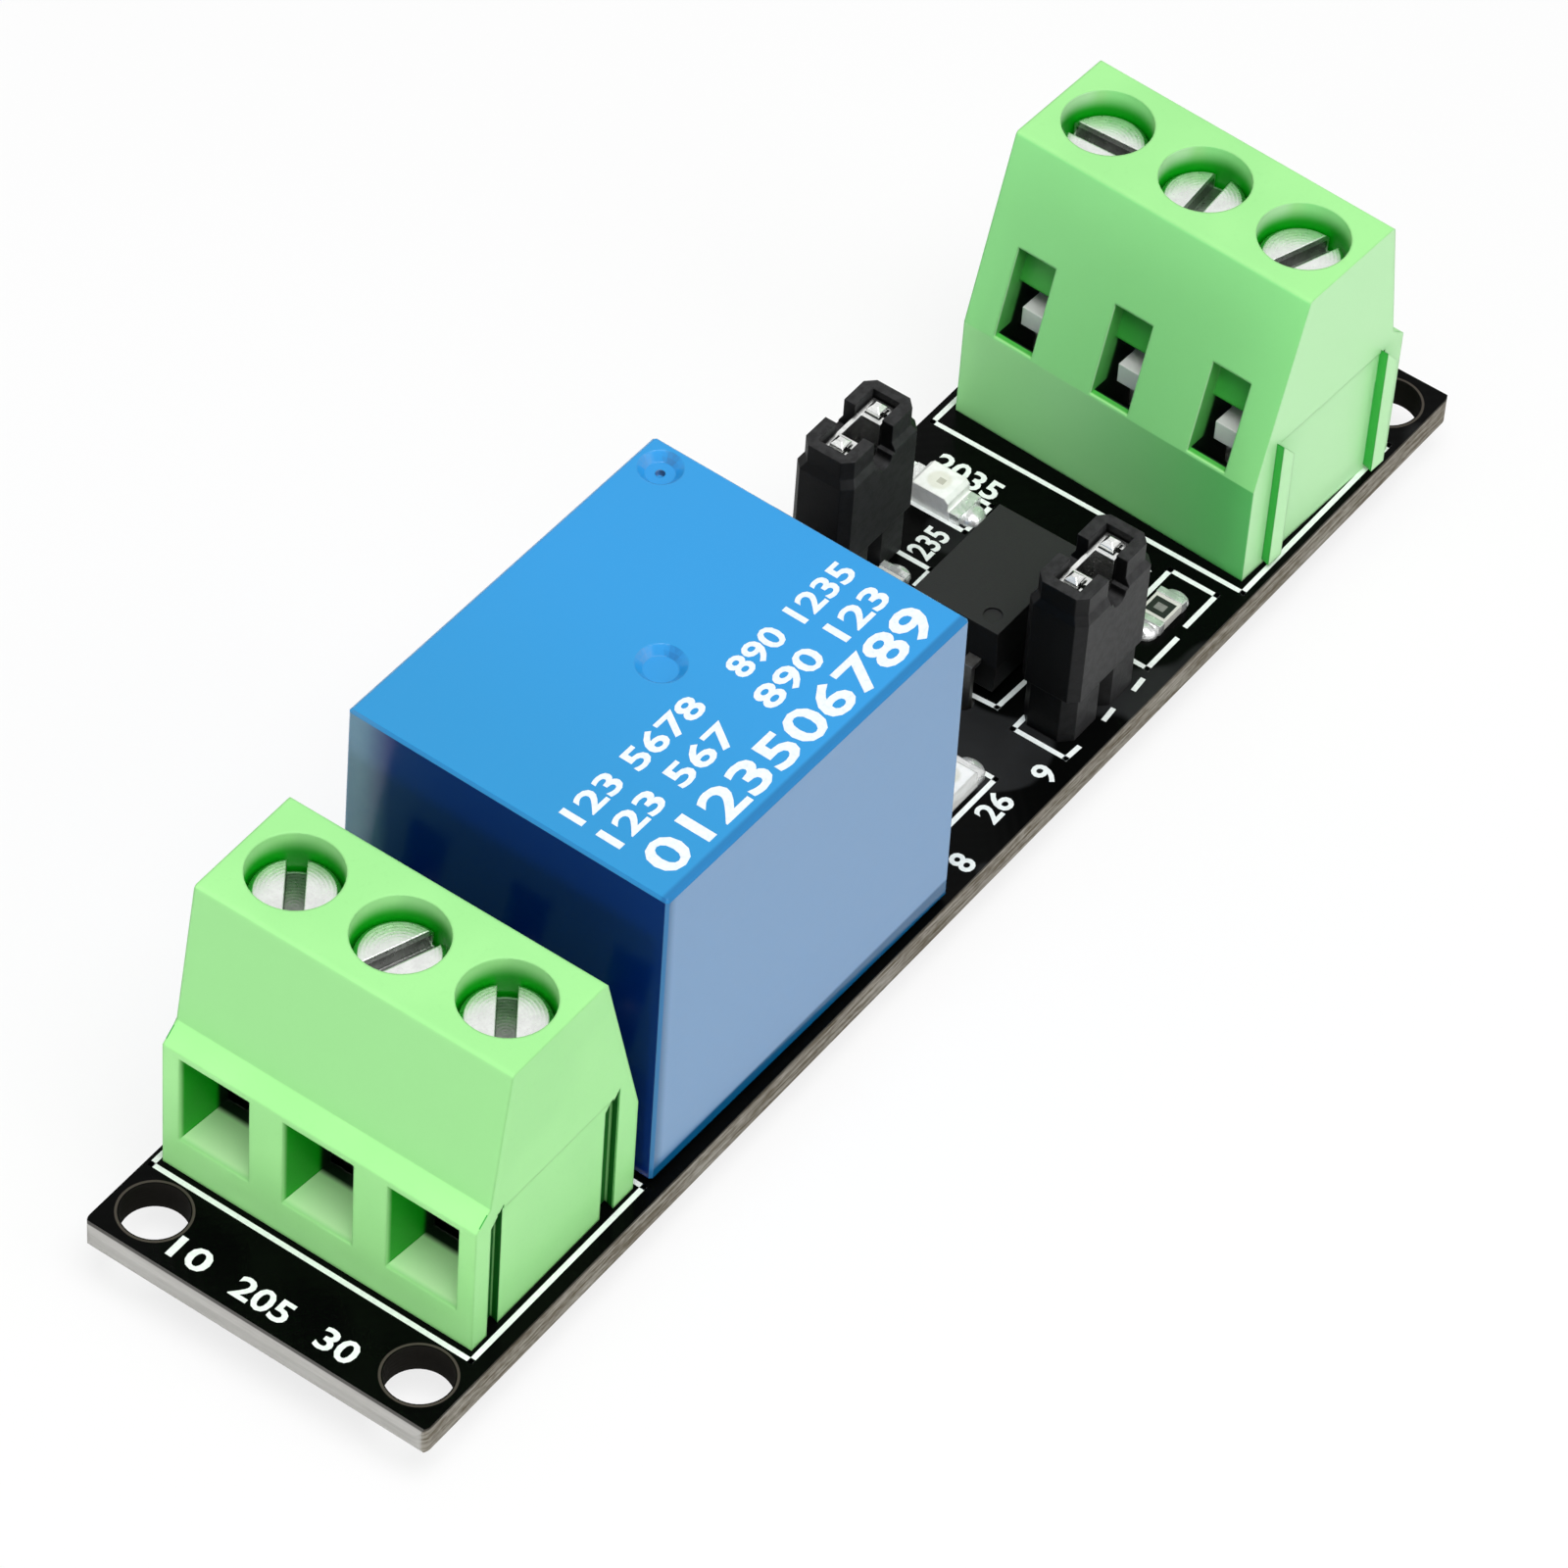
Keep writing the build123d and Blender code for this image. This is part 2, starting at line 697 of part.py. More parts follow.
def relay_bobbin():
    """The coil former: a tube between two flanges, the lower one carrying the coil pins."""
    bobbin = centred_block(coil_x, 0, flange_length, flange_width, lower_flange_bottom, lower_flange_top)
    bobbin += centred_block(coil_x, 0, flange_length, flange_width, upper_flange_bottom, upper_flange_top)
    tab_edge = side_pin_y + coil_pin_size
    for sign in (-1, 1):
        low = min(sign * (yoke_width / 2 + flange_yoke_gap), sign * tab_edge)
        high = max(sign * (yoke_width / 2 + flange_yoke_gap), sign * tab_edge)
        bobbin += block(coil_pin_x - coil_pin_size * 1.5, coil_pin_x + coil_pin_size, low, high,
                        lower_flange_bottom, lower_flange_top)
    bobbin += post(coil_x, 0, bobbin_tube_radius, lower_flange_top - 0.1, upper_flange_bottom + 0.1)
    bobbin -= post(coil_x, 0, core_radius + core_fit_gap, 0, case_top_height)
    for sign in (-1, 1):
        bobbin -= centred_block(coil_pin_x, sign * side_pin_y, coil_pin_size, coil_pin_size, 0, case_top_height)
    return bobbin


def relay_winding():
    """The wire of the coil, as one wound body."""
    low = lower_flange_top + winding_gap
    high = upper_flange_bottom - winding_gap
    outer = post(coil_x, 0, winding_radius, low, high)
    return outer - post(coil_x, 0, bobbin_tube_radius + winding_gap, low - 1, high + 1)


def relay_armature():
    """The iron plate that the coil pulls down."""
    half = armature_width / 2
    plate = block(armature_tip_x, yoke_back_x, -half, half, armature_bottom, armature_top)
    tip_edges = plate.edges().filter_by(Axis.Z).sort_by(Axis.X)[0:2]
    return chamfer(tip_edges, 1.2)


def relay_leaf():
    """The contact leaf: flat along the armature, narrowed to the contact, bent down behind the yoke."""
    outline = [
        (leaf_tip_x, leaf_neck_width / 2),
        (armature_tip_x, leaf_neck_width / 2),
        (armature_tip_x + leaf_taper, leaf_width / 2),
        (leaf_tail_x, leaf_width / 2),
        (leaf_tail_x, -leaf_width / 2),
        (armature_tip_x + leaf_taper, -leaf_width / 2),
        (armature_tip_x, -leaf_neck_width / 2),
        (leaf_tip_x, -leaf_neck_width / 2),
    ]
    flat = extrude(Pos(0, 0, armature_top) * Polygon(*outline, align=None), amount=leaf_thickness, dir=(0, 0, 1))
    half = leaf_width / 2
    tail = block(leaf_tail_x - leaf_thickness, leaf_tail_x, -half, half, leaf_tail_bottom, leaf_top)
    leaf = flat + tail
    outer_edge = leaf.edges().filter_by(Axis.Y).filter_by(lambda e: e.center().X > leaf_tail_x - 0.01)
    leaf = fillet(outer_edge.sort_by(Axis.Z)[-1], leaf_thickness * 0.9)
    return leaf - post(contact_pin_x, 0, rivet_radius / 2, armature_top - 1, leaf_top + 1)


def moving_contact():
    """The double-headed contact rivet in the leaf."""
    upper = post(contact_pin_x, 0, rivet_radius, leaf_top, moving_contact_top)
    lower = post(contact_pin_x, 0, rivet_radius, moving_contact_bottom, armature_top)
    return upper + lower + post(contact_pin_x, 0, rivet_radius / 2 - slot_gap, armature_top, leaf_top)


def fixed_contact(sign, arm_low, arm_high, tip_low, tip_high):
    """A fixed contact: pin, upright leg, and an arm that carries the contact tip."""
    near_y = side_pin_y - contact_strip / 2
    far_y = side_pin_y + contact_strip / 2
    outline = [
        (sign * far_y, base_top_height),
        (sign * far_y, arm_high),
        (-sign * rivet_radius, arm_high),
        (-sign * rivet_radius, arm_low),
        (sign * near_y, arm_low),
        (sign * near_y, base_top_height),
    ]
    strip = end_profile(outline, contact_leg_width, contact_pin_x)
    pin = centred_block(contact_pin_x, sign * side_pin_y, contact_pin_width, contact_strip,
                        pin_tip, base_top_height)
    return strip + pin + post(contact_pin_x, 0, rivet_radius, tip_low, tip_high)


def relay_closed_contact():
    """The contact that the leaf rests against while the coil is off."""
    arm_low = closed_contact_bottom + rivet_half_height
    return fixed_contact(1, arm_low, arm_low + contact_strip, closed_contact_bottom, arm_low)


def relay_open_contact():
    """The contact that the leaf closes on when the coil pulls."""
    arm_high = open_contact_top - rivet_half_height
    return fixed_contact(-1, arm_high - contact_strip, arm_high, arm_high, open_contact_top)


def relay_common_pin():
    """The strip on the back of the yoke that leads to the common pin."""
    half = common_strip_width / 2
    back = yoke_back_x + contact_strip
    strip = block(yoke_back_x, back, -half, half, yoke_bottom_height, common_strip_top)
    pin = centred_block(common_pin_x, 0, contact_strip, contact_pin_width, pin_tip, yoke_bottom_height)
    return strip + pin


def relay_coil_pins():
    """The two square pins that the winding ends are soldered to."""
    top = lower_flange_top + 0.6
    pins = [
        centred_block(coil_pin_x, sign * side_pin_y, coil_pin_size, coil_pin_size, pin_tip, top)
        for sign in (-1, 1)
    ]
    return Compound(children=pins)


def header_base():
    """The moulded strip of a pin header, notched between its pins."""
    base = None
    for u in header_pin_places:
        unit = centred_block(u, 0, header_pitch, header_base_width, 0, header_base_height)
        unit = chamfer(unit.edges().filter_by(Axis.Z), header_notch)
        base = unit if base is None else base + unit
    for u in header_pin_places:
        base -= centred_block(u, 0, header_pin_size, header_pin_size, -1, header_base_height + 1)
    return base


def header_pin_set():
    """The square pins of a header, pointed at both ends."""
    pins = []
    for u in header_pin_places:
        pin = centred_block(u, 0, header_pin_size, header_pin_size, header_pin_tip, shunt_top_height)
        ends = pin.faces().sort_by(Axis.Z)
        pin = chamfer(list(ends[0].edges()) + list(ends[-1].edges()), header_tip)
        pins.append(pin.solid())
    return Compound(children=pins)


def cut_corner_plan(length, width, cut):
    """A rectangle with its corners cut off."""
    plan = Rectangle(length, width)
    return chamfer(plan.vertices(), cut)


def shunt_housing():
    """The open-topped jumper cap: a flared body under a rim split by a slot on each long side."""
    bottom = header_base_height + shunt_seat_gap
    body_outline = cut_corner_plan(shunt_length, shunt_width, shunt_corner_cut)
    rim_outline = cut_corner_plan(shunt_length - 2 * shunt_rim_inset, shunt_width - 2 * shunt_rim_inset,
                                  shunt_corner_cut)
    rim_start = shunt_shoulder_height + shunt_shoulder_rise
    body = extrude(Pos(0, 0, bottom) * body_outline, amount=shunt_shoulder_height - bottom)
    body += loft([Pos(0, 0, shunt_shoulder_height) * body_outline, Pos(0, 0, rim_start) * rim_outline])
    body += extrude(Pos(0, 0, rim_start) * rim_outline, amount=shunt_top_height - rim_start)
    body -= centred_block(0, 0, shunt_cavity_length, shunt_cavity_width, 0, shunt_top_height + 1)
    slot_floor = shunt_top_height - shunt_slot_height
    body -= centred_block(0, 0, shunt_slot_width, shunt_width + 1, slot_floor, shunt_top_height + 1)
    sight = Pos(0, -shunt_width / 2, slot_floor) * Rot(90, 0, 0) * Cylinder(shunt_sight_diameter / 2, shunt_width)
    return body - sight


def shunt_clip():
    """The folded contact strip that joins the two pins."""
    inner = header_pin_size / 2 + clip_gap
    outer = inner + clip_thickness
    end_u = header_pin_places[-1] + outer
    plan = Pos(0, (inner + outer) / 2) * Rectangle(2 * end_u, clip_thickness)
    for u in header_pin_places:
        for side in (-1, 1):
            wall_u = u + side * (inner + outer) / 2
            plan += Pos(wall_u, 0) * Rectangle(clip_thickness, 2 * inner + 0.02)
            lip_u = u + side * (outer - (clip_lip + clip_thickness) / 2)
            plan += Pos(lip_u, -(inner + outer) / 2) * Rectangle(clip_lip + clip_thickness, clip_thickness)
    return extrude(Pos(0, 0, clip_bottom_height) * plan, amount=clip_top_height - clip_bottom_height)


def opto_body():
    """The optocoupler's moulded body, drafted up and down from its lead line."""
    middle = opto_bottom_height + opto_height / 2
    shrink = opto_height / 2 * math.tan(math.radians(opto_draft))
    upper = extrude(Rectangle(opto_length, opto_width), amount=opto_height / 2, taper=opto_draft)
    body = Pos(0, 0, middle) * (upper + mirror(upper, about=Plane.XY))
    mark_x = -opto_length / 2 + shrink + opto_mark_diameter
    mark_y = -opto_width / 2 + shrink + opto_mark_diameter
    top = opto_bottom_height + opto_height
    return body - post(mark_x, mark_y, opto_mark_diameter / 2, top - opto_mark_depth, top + 1)


def opto_leads():
    """The four bent leads of the optocoupler."""
    middle = opto_bottom_height + opto_height / 2
    upper = middle + opto_lead_thickness / 2
    lower = middle - opto_lead_thickness / 2
    leads = []
    for u, v in opto_lead_places:
        side = 1 if u > 0 else -1
        outer = opto_row_spacing / 2 + opto_lead_thickness / 2
        inner = opto_row_spacing / 2 - opto_lead_thickness / 2
        outline = [
            (side * opto_length / 2, upper),
            (side * outer, upper),
            (side * outer, header_pin_tip),
            (side * inner, header_pin_tip),
            (side * inner, lower),
            (side * opto_length / 2, lower),
        ]
        leads.append(side_profile(outline, opto_lead_width, v).solid())
    return Compound(children=leads)


def flat_place(place):
    """A part's place on the board: a point of the plan and a turn."""
    return Pos(place[0], place[1], 0) * Rot(0, 0, place[2])


def led_body():
    """An indicator's base and its clear lens."""
    inner = led_length - 2 * led_end_length
    top = led_base_height + led_lens_height
    base = centred_block(0, 0, inner, led_width, 0, led_base_height)
    lens = centred_block(0, 0, led_lens_length, led_width, led_base_height, top)
    ends = lens.faces().sort_by(Axis.Z)[-1].edges().filter_by(Axis.Y)
    return base + chamfer(ends, led_lens_height / 3)


def led_ends():
    """The plated ends of an indicator."""
    offset = (led_length - led_end_length) / 2
    ends = [
        centred_block(side * offset, 0, led_end_length, led_width, 0, led_base_height) for side in (-1, 1)
    ]
    return Compound(children=ends)


def resistor_body():
    """A chip resistor's ceramic body."""
    inner = resistor_length - 2 * resistor_end_length
    return centred_block(0, 0, inner, resistor_width, resistor_lift, resistor_height)


def resistor_ends():
    """The plated ends of every chip resistor."""
    offset = (resistor_length - resistor_end_length) / 2
    width = resistor_width + 2 * resistor_end_proud
    top = resistor_height + resistor_end_proud
    ends = [
        flat_place(place) * centred_block(side * offset, 0, resistor_end_length, width, 0, top)
        for place in resistor_places
        for side in (-1, 1)
    ]
    return Compound(children=ends)


def small_body(length, width, height):
    """A small moulded body that stands a little off the board."""
    body = centred_block(0, 0, length, width, small_body_lift, small_body_lift + height)
    return chamfer(body.faces().sort_by(Axis.Z)[-1].edges(), small_body_chamfer)


def gull_lead(side, start, v, width, height):
    """A lead from the side of a small body, bent down and out along the board."""
    middle = small_body_lift + height / 2
    half = small_lead_thickness / 2
    inner = start + small_lead_knee
    outer = inner + small_lead_thickness
    outline = [
        (side * start, middle + half),
        (side * outer, middle + half),
        (side * outer, small_lead_thickness),
        (side * (start + small_lead_reach), small_lead_thickness),
        (side * (start + small_lead_reach), 0),
        (side * inner, 0),
        (side * inner, middle - half),
        (side * start, middle - half),
    ]
    return side_profile(outline, width, v).solid()


def transistor_leads():
    """The transistor's three leads."""
    start = transistor_width / 2
    spread = transistor_lead_pitch / 2
    ends = [(1, 0), (-1, spread), (-1, -spread)]
    leads = [gull_lead(side, start, v, transistor_lead_width, transistor_height) for side, v in ends]
    return Compound(children=leads)


def diode_leads():
    """The diode's two leads."""
    start = diode_length / 2
    leads = [gull_lead(side, start, 0, diode_lead_width, diode_height) for side in (-1, 1)]
    return Compound(children=leads)


write("circuit_board", circuit_board(), board_place)
write("solder_joints", solder_joints(), board_place)

housing = terminal_housing()
clamps = [rising_clamp(v) for v in pole_places]
strips = [terminal_pin(v) for v in pole_places]
blocks = (("near", near_place, near_slot_turns), ("far", far_place, far_slot_turns))
for side_name, block_place, slot_turns in blocks:
    write(side_name + "_terminal_housing", housing, block_place)
    for i in range(pole_count):
        screw = clamp_screw(pole_places[i], slot_turns[i])
        write(side_name + "_clamp_screw_" + str(i + 1), screw, block_place)
        write(side_name + "_rising_clamp_" + str(i + 1), clamps[i], block_place)
        write(side_name + "_terminal_pin_" + str(i + 1), strips[i], block_place)

relay_pieces = {
    "relay_case": relay_case(),
    "relay_base": relay_base(),
    "relay_yoke": relay_yoke(),
    "relay_core": relay_core(),
    "relay_bobbin": relay_bobbin(),
    "relay_winding": relay_winding(),
    "relay_armature": relay_armature(),
    "relay_contact_leaf": relay_leaf(),
    "relay_moving_contact": moving_contact(),
    "relay_closed_contact": relay_closed_contact(),
    "relay_open_contact": relay_open_contact(),
    "relay_common_pin": relay_common_pin(),
    "relay_coil_pins": relay_coil_pins(),
}
for piece_name, piece in relay_pieces.items():
    write(piece_name, piece, relay_place)

for side_name, header_place in (("left", left_header_place), ("right", right_header_place)):
    write(side_name + "_header_base", header_base(), header_place)
    write(side_name + "_header_pins", header_pin_set(), header_place)
    write(side_name + "_jumper_cap", shunt_housing(), header_place)
    write(side_name + "_jumper_clip", shunt_clip(), header_place)

write("optocoupler_body", opto_body(), opto_place)
write("optocoupler_leads", opto_leads(), opto_place)

for led_name, led_place in (("power", power_led_place), ("relay", relay_led_place)):
    write(led_name + "_led_body", led_body(), surface_place * flat_place(led_place))
    write(led_name + "_led_ends", led_ends(), surface_place * flat_place(led_place))
for i, resistor_place in enumerate(resistor_places):
    write("chip_resistor_" + str(i + 1), resistor_body(), surface_place * flat_place(resistor_place))
write("chip_resistor_ends", resistor_ends(), surface_place)

transistor = small_body(transistor_width, transistor_length, transistor_height)
write("transistor_body", transistor, surface_place * flat_place(transistor_place))
write("transistor_leads", transistor_leads(), surface_place * flat_place(transistor_place))
diode = small_body(diode_length, diode_width, diode_height)
write("coil_diode_body", diode, surface_place * flat_place(diode_place))
write("coil_diode_leads", diode_leads(), surface_place * flat_place(diode_place))
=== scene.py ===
import math

import bmesh
import bpy
from mathutils import Matrix, Vector


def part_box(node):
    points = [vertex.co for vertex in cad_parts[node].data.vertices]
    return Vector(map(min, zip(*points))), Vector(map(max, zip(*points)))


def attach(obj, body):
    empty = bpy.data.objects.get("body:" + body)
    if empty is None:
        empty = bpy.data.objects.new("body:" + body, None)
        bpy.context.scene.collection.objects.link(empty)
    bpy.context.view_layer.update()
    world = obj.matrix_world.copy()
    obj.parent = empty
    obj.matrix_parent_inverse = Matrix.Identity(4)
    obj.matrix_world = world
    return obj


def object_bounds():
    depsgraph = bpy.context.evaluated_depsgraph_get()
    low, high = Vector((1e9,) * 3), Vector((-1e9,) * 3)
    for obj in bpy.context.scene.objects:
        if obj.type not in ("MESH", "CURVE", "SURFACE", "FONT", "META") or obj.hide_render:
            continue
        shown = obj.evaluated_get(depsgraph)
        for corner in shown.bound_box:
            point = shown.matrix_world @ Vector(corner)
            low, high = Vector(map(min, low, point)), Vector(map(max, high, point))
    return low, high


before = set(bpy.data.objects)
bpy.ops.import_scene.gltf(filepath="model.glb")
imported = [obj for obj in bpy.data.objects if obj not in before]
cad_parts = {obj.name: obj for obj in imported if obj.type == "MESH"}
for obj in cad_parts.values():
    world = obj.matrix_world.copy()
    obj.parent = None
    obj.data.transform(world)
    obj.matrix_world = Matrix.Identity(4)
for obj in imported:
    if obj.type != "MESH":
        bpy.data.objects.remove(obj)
cad_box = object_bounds()

bl_info = {
    "name": "Relay module board",
    "version": (1, 0, 0),
    "blender": (4, 5, 0),
    "location": "View3D > Sidebar > Relay board",
    "description": "Dresses the relay module board and sets its stage",
    "category": "Object",
}

MM = 0.001
BOARD_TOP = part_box("circuit_board")[1][2] / MM
BODY = "board"
SIDES = ("near", "far")
POLES = (1, 2, 3)


# Places of the CAD pieces, in millimetres. A block and the relay have x, y and their turn about the vertical.

HOLE_SPACING_X = 66.7
HOLE_SPACING_Y = 12.8
NEAR_BLOCK = (-26.4, 0.25, 0.0)
FAR_BLOCK = (26.47, -0.2, math.radians(177.5))
RELAY = (-10.65, -0.05, math.radians(-1.0))
CHIP_TURN = math.radians(90.0)

# The bare board: how far the drilled walls reach from a hole's middle, the lacquer's lip down a cut edge,
# where the copper starts, and the weave's waves a millimetre
DRILLED_REACH = 1.6
LACQUER_LIP = 0.16
COPPER_START = -18.0
WEAVE = 9.0

# The screw terminal, seen from its middle on the board's top: u runs from its wire entries to its back,
# v along its poles and z up.
POLE_PITCH = 5.0
THREAD_PITCH = 0.5
TERMINAL_TOP = 14.3
TOP_HALF_DEPTH = 2.9
BACK_SLOPE = 0.2747
# Where the painted shade on the foot of the backs and on the sloped fronts starts and ends
FOOT_TOP = 5.2
FRONT_EDGE = 4.7
SLOPE_BOTTOM = 6.0
SCREW_HEAD_BOTTOM = 11.5
SLOT_BOTTOM = SCREW_HEAD_BOTTOM + 0.5
SLOT_TOP = SCREW_HEAD_BOTTOM + 1.4
HEAD_RADIUS = 1.7
# Where shade is painted in the wells, windows, pockets, wire entries and poles, beside the rails and in the grooves
# of the side joints, and light on the entry floors
WELL_RADIUS = 2.05
WELL_BOTTOM = 11.3
WINDOW_FRONT = 2.4
WINDOW_HALF_WIDTH = 1.0
WINDOW_BOTTOM = 5.2
WINDOW_TOP = 9.7
POCKET_HALF_WIDTH = 1.05
POCKET_BACK = 5.05
POCKET_BOTTOM = 2.2
POCKET_TOP = 5.3
ENTRY_HALF_WIDTH = 1.72
ENTRY_FRONT = 4.75
ENTRY_BACK = 2.2
ENTRY_TOP = 6.7
CHAMBER_HALF_WIDTH = 1.98
CHAMBER_BOTTOM = 0.4
CHAMBER_TOP = 11.05
SIDE_FACE = 7.45
RAIL_REACH = 4.6
RAIL_TOP = 7.45
GROOVE_MIDDLE = 3.62
GROOVE_HALF_WIDTH = 0.6
GROOVE_MOUTH = 7.42
GROOVE_FLOOR = 6.99
GROOVE_TOP = 7.1

# The relay's cover, seen from its middle, and the bounds of the light and shade painted on it
COVER_HALF_LENGTH = 9.65
COVER_HALF_WIDTH = 7.8
COVER_FOOT = BOARD_TOP + 1.0
COVER_FOOT_RISE = 0.02

# Outlines printed on the board, as x and y
TERMINAL_FRAMES = (
    ((-31.59, -7.53), (-20.69, -7.53), (-20.69, 7.97), (-31.59, 7.97), (-31.59, -7.53)),
    ((20.23, -7.85), (31.2, -7.85), (31.2, 7.85), (20.23, 7.85), (20.23, -7.85)),
)
POWER_INDICATOR_FRAME = (
    ((15.82, 6.4), (15.82, 3.1), (17.74, 3.1), (17.74, 7.2), (15.82, 7.2), (15.82, 6.7)),)
OPTOCOUPLER_CORNERS = (
    ((8.46, -2.2), (8.55, -3.65), (10.4, -3.72)),
    ((15.1, 2.3), (15.1, -3.65), (13.2, -3.72)),
)
RESISTOR_BRACKETS = (
    ((12.1, 4.95), (13.15, 4.95), (13.15, 2.94), (12.1, 2.94)),
    ((9.9, 4.95), (8.85, 4.95), (8.85, 2.94), (9.9, 2.94)),
    ((17.3, -4.8), (19.4, -4.8), (19.4, -7.1), (17.2, -7.1)),
    ((16.3, -4.8), (14.2, -4.8), (14.2, -7.2), (16.3, -7.2)),
)
RELAY_INDICATOR_FRAME = (((1.2, -5.87), (5.27, -5.87), (5.27, -3.6), (1.2, -3.6), (1.2, -5.87)),)
HEADER_MARKS = (
    ((9.0, -4.85), (8.0, -4.85), (8.0, -7.45), (8.8, -7.5)),
    ((10.79, -7.45), (11.39, -7.4)),
    ((12.93, -7.45), (13.53, -7.4)),
    ((9.2, 7.3), (8.4, 7.3), (8.4, 4.4)),
)

# Plain numbers printed on the board, as text, x, y, turn and width
ACROSS = math.radians(-90.0)
BOARD_NUMBERS = (
    ("10", -34.17, 3.93, ACROSS, 1.75),
    ("205", -34.19, 0.45, ACROSS, 2.6),
    ("30", -34.17, -3.16, ACROSS, 1.75),
    ("2035", 18.5, 4.85, ACROSS, 3.2),
    ("235", 14.35, 3.9, 0.0, 1.8),
    ("7", 18.97, -3.65, 0.0, 0.7),
    ("26", 4.0, -6.73, 0.0, 1.6),
    ("9", 6.77, -7.25, 0.0, 0.75),
    ("8", 0.75, -7.43, 0.0, 0.75),
)

# Plain numbers printed on the relay, from its middle, as text, x, y, height and width
RELAY_NUMBERS = (
    ("123 5678", -4.6, -2.27, 1.15, 7.9),
    ("890 1235", 5.0, -2.42, 1.15, 7.3),
    ("123 567", -4.75, -4.05, 1.2, 7.6),
    ("890 123", 4.6, -4.2, 1.2, 7.7),
    ("0123506789", 0.1, -6.15, 1.75, 17.0),
)
RELAY_INK_HEIGHT = 0.03

# Solder at the ends of the chips, as node, turn, reach from the chip's middle and width
CHIP_ENDS = (
    ("chip_resistor_1", 0.0, 1.1, 1.2),
    ("chip_resistor_2", 0.0, 1.15, 1.25),
    ("chip_resistor_3", CHIP_TURN, 1.1, 1.2),
    ("chip_resistor_4", CHIP_TURN, 1.1, 1.2),
    ("power_led_body", CHIP_TURN, 1.75, 1.3),
    ("relay_led_body", 0.0, 1.75, 1.3),
)
DOME_LENGTH = 0.85
DOME_HEIGHT = 0.34
DOME_FULLNESS = ((-1, 1.3), (1, 1.0))

# Small parts: half sizes of a chip resistor's glaze and label field, and an indicator's cup and light chip
GLAZE_HALF_SIZE = (0.47, 0.5)
LABEL_HALF_SIZE = (0.2, 0.24)
CUP_INNER_RADIUS = 0.42
CUP_OUTER_RADIUS = 0.62
DIE_HALF_SIZE = 0.17
DIE_SHIFT = 0.1
WIRE_PITCH = 0.16

# Printed numbers: how much bolder than their face, and how finely their curves are cut
DIGIT_WEIGHT = 0.022
DIGIT_RESOLUTION = 3

# Lamps of the stage, as name, azimuth and elevation in degrees, and size in metres
LAMPS = (
    ("key", -38.0, 74.0, 0.34),
    ("side", 8.0, 34.0, 0.30),
    ("front", -88.0, 7.0, 0.12),
)

# From the board's middle to each lamp and to the floor's edges, in metres
LAMP_DISTANCE = 0.45
FLOOR_REACH = 4.0

# Reflections: between these heights of a direction, the surroundings fall from one level to the other
OVERHEAD_START = 0.80
OVERHEAD_END = 0.95
LOW_LEVEL = 0.95
OVERHEAD_LEVEL = 0.45


# Sizes and colours that a user would change

def length(name, description, default):
    """A length in millimetres."""
    return bpy.props.FloatProperty(name=name, description=description, default=default, min=0.0, precision=3)


def colour(name, description, default):
    """A colour in linear light."""
    return bpy.props.FloatVectorProperty(
        name=name, description=description, default=default, size=3, subtype="COLOR", min=0.0, max=1.0)


def share(name, description, default):
    """A number from 0 to 1."""
    return bpy.props.FloatProperty(
        name=name, description=description, default=default, min=0.0, max=1.0, subtype="FACTOR")


def shift(name, description, default):
    """A small number of either sign."""
    return bpy.props.FloatProperty(name=name, description=description, default=default, precision=5)


def angle(name, description, default):
    """An angle, kept in radians and shown in degrees."""
    return bpy.props.FloatProperty(
        name=name, description=description, default=math.radians(default), subtype="ANGLE")


class RelayBoardLaminate(bpy.types.PropertyGroup):
    """The bare board and what is printed on it."""
    mask: colour("Solder mask", "Glossy black lacquer on both faces", (0.0013, 0.0015, 0.0014))
    plane: colour("Copper plane", "Lacquer where copper lies under it", (0.030, 0.031, 0.032))
    edge_pale: colour("Pale edge", "Pale glass fibre in the cut edges", (0.36, 0.34, 0.30))
    end_pale: colour("Pale end", "Smooth grey of the two short ends", (0.46, 0.455, 0.44))
    edge_dark: colour("Dark edge", "Resin between the glass layers of the cut edges", (0.11, 0.09, 0.06))
    drilled: colour("Drilled wall", "Walls of the mounting holes", (0.012, 0.011, 0.009))
    ring: colour("Hole ring", "Bare ring round each mounting hole", (0.07, 0.06, 0.05))
    ring_radius: length("Ring radius", "Middle of the bare ring, in mm", 1.50)
    ring_width: length("Ring width", "Width of the bare ring, in mm", 0.07)
    ink: colour("Ink", "White printing on the board", (0.92, 0.97, 0.94))
    line: length("Line width", "Width of the printed lines, in mm", 0.23)
    ink_height: length("Ink height", "Thickness of the print, in mm", 0.02)
    number: length("Number height", "Height of the printed numbers, in mm", 1.15)


